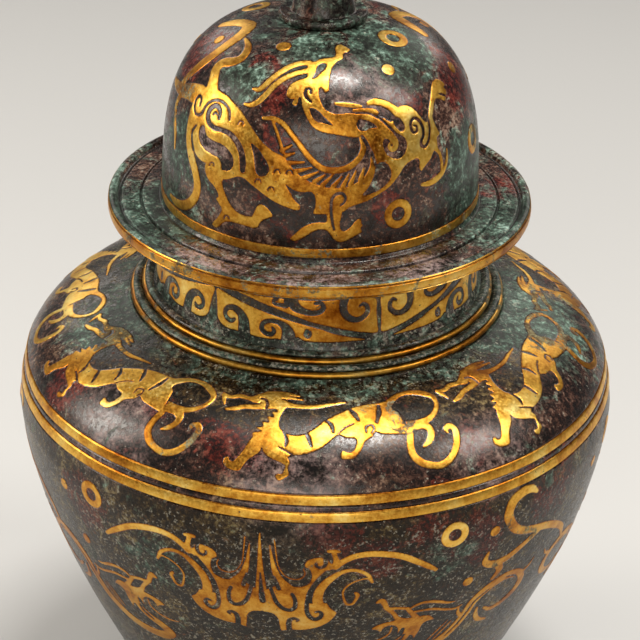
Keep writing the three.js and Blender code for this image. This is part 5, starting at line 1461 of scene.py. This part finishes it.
# %% Cloud scroll
CLOUD_STROKES = [
    [(-6.4, 4.6, 1.6), (-7.6, 2.9, 2.8), (-10, 2.5, 3.6), (-12.4, 4.4, 4), (-13.3, 8.4, 4),
     (-12.4, 12.6, 3.6), (-10.6, 16.6, 3.4), (-8, 19.2, 3.2), (-4.4, 21.4, 3.2), (-1, 23.4, 3.2),
     (3, 27, 3), (6.4, 31.6, 2.6), (8, 36.6, 1.4)],
    [(-3, 22.8, 2.4), (-7.6, 26, 2.6), (-11.6, 28.6, 3.2), (-15, 28.6, 3.2), (-17, 26, 2.6),
     (-16.7, 22.2, 1.2)],
    [(-13.6, 29.2, 3), (-12.6, 33, 3), (-13.8, 36.4, 1.6)],
]
print("cloud:", len(CLOUD_STROKES), "strokes")

# %% Drawings of the belly
RING_TURN, RING_DOWN, PALMETTE_AXIS, PALMETTES = 35.2, 9.7, -9.2, 3
BELLY_DOTS = [(40, 33, 2), (-40, 33, 2), (44, 13.5, 2), (-44, 13.5, 2)]
belly_wall = Wall([*belly, BELT_FOOT])


def from_belt(lines):
    """Strokes or outlines with their heights counted down from the belt."""
    return [[(turn, belly_wall.field - down, *width) for turn, down, *width in line] for line in lines]


def both_halves(half, whole=()):
    """What lies on the axis, then one half and its mirror image."""
    return from_belt([*whole, *half, *mirrored(half)])


palmette = drawing(belly_wall, both_halves(PALMETTE_STROKES, PALMETTE_STEM),
                   both_halves(PALMETTE_CUTS, PALMETTE_FLUTE), both_halves(PALMETTE_PLATES),
                   from_belt(PALMETTE_POOLS), lattice=FIGURE_LATTICE)
belly_dragon = drawing(belly_wall, from_belt(BELLY_DRAGON_STROKES), from_belt(BELLY_DRAGON_CUTS),
                       from_belt(BELLY_DRAGON_PLATES), lattice=FIGURE_LATTICE)
cloud = drawing(belly_wall, from_belt(CLOUD_STROKES), lattice=CLOUD_LATTICE)
belly_ring = ring_drawing(belly_wall, 0, belly_wall.field - RING_DOWN)
belly_dots = dot_drawing(belly_wall, *from_belt([BELLY_DOTS]))
print("palmette:", len(palmette[1]), "belly dragon:", len(belly_dragon[1]), "triangles")

# %% Palmettes, dragons, clouds, rings and dots on the belly
for i in range(PALMETTES):
    axis = PALMETTE_AXIS + 360 / PALMETTES * i
    lay(f"palmette_gold_{i + 1}", f"belly_palmette_{i + 1}", "jar", belly_wall, palmette, axis)
    for side, stretch in (("right", 1), ("left", -1)):
        lay(f"belly_dragon_gold_{i + 1}_{side}", f"belly_dragon_{i + 1}_{side}", "jar", belly_wall,
            belly_dragon, axis, stretch)
    lay(f"cloud_gold_{i + 1}", f"belly_cloud_{i + 1}", "jar", belly_wall, cloud, axis + 180 / PALMETTES)
    for n, turn in enumerate((RING_TURN, -RING_TURN)):
        lay(f"belly_ring_gold_{i + 1}_{n + 1}", f"belly_ring_{i + 1}_{n + 1}", "jar", belly_wall,
            belly_ring, axis + turn)
    lay(f"belly_dots_{i + 1}", None, "jar", belly_wall, belly_dots, axis)
print("belly:", PALMETTES, "palmettes,", 2 * PALMETTES, "dragons and", PALMETTES, "clouds")

# %% [markdown]
# ## The neck's panels
#
# The frieze has six cells. A dark line across each cell's diagonal parts it into two long wedges, and a
# row of scrolls is cut out of each wedge, the largest at its tall end. Every second cell is a mirror
# image.

# %% Wedges and scrolls of the neck
FOOT_PANEL = [
    [(.52, 12.8), (1.13, 9.3), (1.75, 5.9), (2.16, 3.7), (3.2, 2.2), (5.05, 1.2), (7.53, .8), (9.79, .9),
     (14.85, .7), (18.04, .4), (22.58, .4), (24.85, .8), (27.94, .7), (31.86, 2.1), (34.12, 1.1),
     (40.31, .7), (48.56, .8), (54.74, 1), (49.59, 2.2), (42.99, 3.9), (40.31, 4.9), (33.92, 6.4),
     (24.85, 8.3), (15.77, 10.1), (6.6, 12)],
]
FOOT_SCROLLS = [
    [(13.09, -.9, 4.6), (12.89, 2.1, 4.3), (12.47, 4.9, 3.8), (10.82, 7.3, 2.8), (7.94, 8.3, 2),
     (5.57, 7.3, 1.7), (5.05, 5.5, 1.6), (6.29, 4, 1.7), (7.94, 3.7, 1.6), (8.97, 4.5, 1.1)],
    [(28.56, -.5, 5), (28.76, 2.5, 4.4), (27.73, 4.9, 3), (25.26, 6.4, 1.7), (22.16, 6.6, 1.4),
     (19.79, 5.4, 1.6), (19.38, 3.5, 1.7), (20.72, 2.2, 1.7), (22.78, 2.1, 1.6), (23.81, 3.3, 1.3),
     (23.2, 4.3, .9)],
    [(35.05, 4.4, 1.4), (34.54, 3.1, 1.3), (35.36, 2.3, 1.1), (36.19, 3.1, 1), (36.08, 4.1, .9)],
]
TOP_PANEL = [
    [(58.87, 14.5), (59.07, 10.5), (59.28, 6.1), (59.18, 2.9), (54.43, 3.4), (49.79, 4.4), (42.99, 6),
     (36.19, 7.5), (27.11, 10.2), (20.31, 11.9), (14.54, 13.2), (8.66, 14.3), (17.63, 14.5), (38.25, 14.7)],
]
TOP_SCROLLS = [
    [(47.94, 15.5, 2.8), (47.32, 13.1, 2.6), (47.73, 10.5, 2.4), (49.38, 8.7, 2.2), (51.86, 7.9, 1.8),
     (54.12, 8.5, 1.7), (55.77, 10.2, 1.6), (55.67, 12.1, 1.5), (54.54, 13.1, 1.2), (53.3, 12.6, .8)],
    [(29.38, 15.5, 3.4), (30.62, 12.5, 3.4), (33.09, 11.2, 2.4), (36.6, 10.5, 1.8), (39.28, 11, 1.6),
     (40.52, 12.5, 1.5), (39.48, 14, 1.3), (37.63, 13.8, 1)],
    [(27.94, 14.5, 2.4), (27.53, 12.5, 1.8), (25.46, 12.4, 1.3), (23.4, 12.7, 1.2), (22.99, 13.7, 1),
     (24.23, 14.1, .8)],
]
print("scrolls:", len(FOOT_SCROLLS), "in a lower wedge and", len(TOP_SCROLLS), "in an upper one")

# %% Neck panels
CELLS, FIRST_CELL, FRIEZE_STEPS = 6, -38.3, 8
CELL_WIDTH = 360 / CELLS
frieze_wall = Wall([np.array(FRIEZE_FOOT) * (1 - t) + np.array(FRIEZE_TOP) * t
                    for t in np.linspace(0, 1, FRIEZE_STEPS + 1)])
foot_panel = drawing(frieze_wall, [], FOOT_SCROLLS, FOOT_PANEL, lattice=PANEL_LATTICE)
top_panel = drawing(frieze_wall, [], TOP_SCROLLS, TOP_PANEL, lattice=PANEL_LATTICE)
for cell in range(CELLS):
    start = FIRST_CELL + CELL_WIDTH * cell
    turn, stretch = (start, 1) if cell % 2 == 0 else (start + CELL_WIDTH, -1)
    for kind, drawn in (("foot", foot_panel), ("top", top_panel)):
        lay(f"neck_gold_{cell + 1}_{kind}", f"neck_panel_{cell + 1}_{kind}", "jar", frieze_wall, drawn,
            turn, stretch)
print("neck panels:", len(foot_panel[1]), "and", len(top_panel[1]), "triangles")
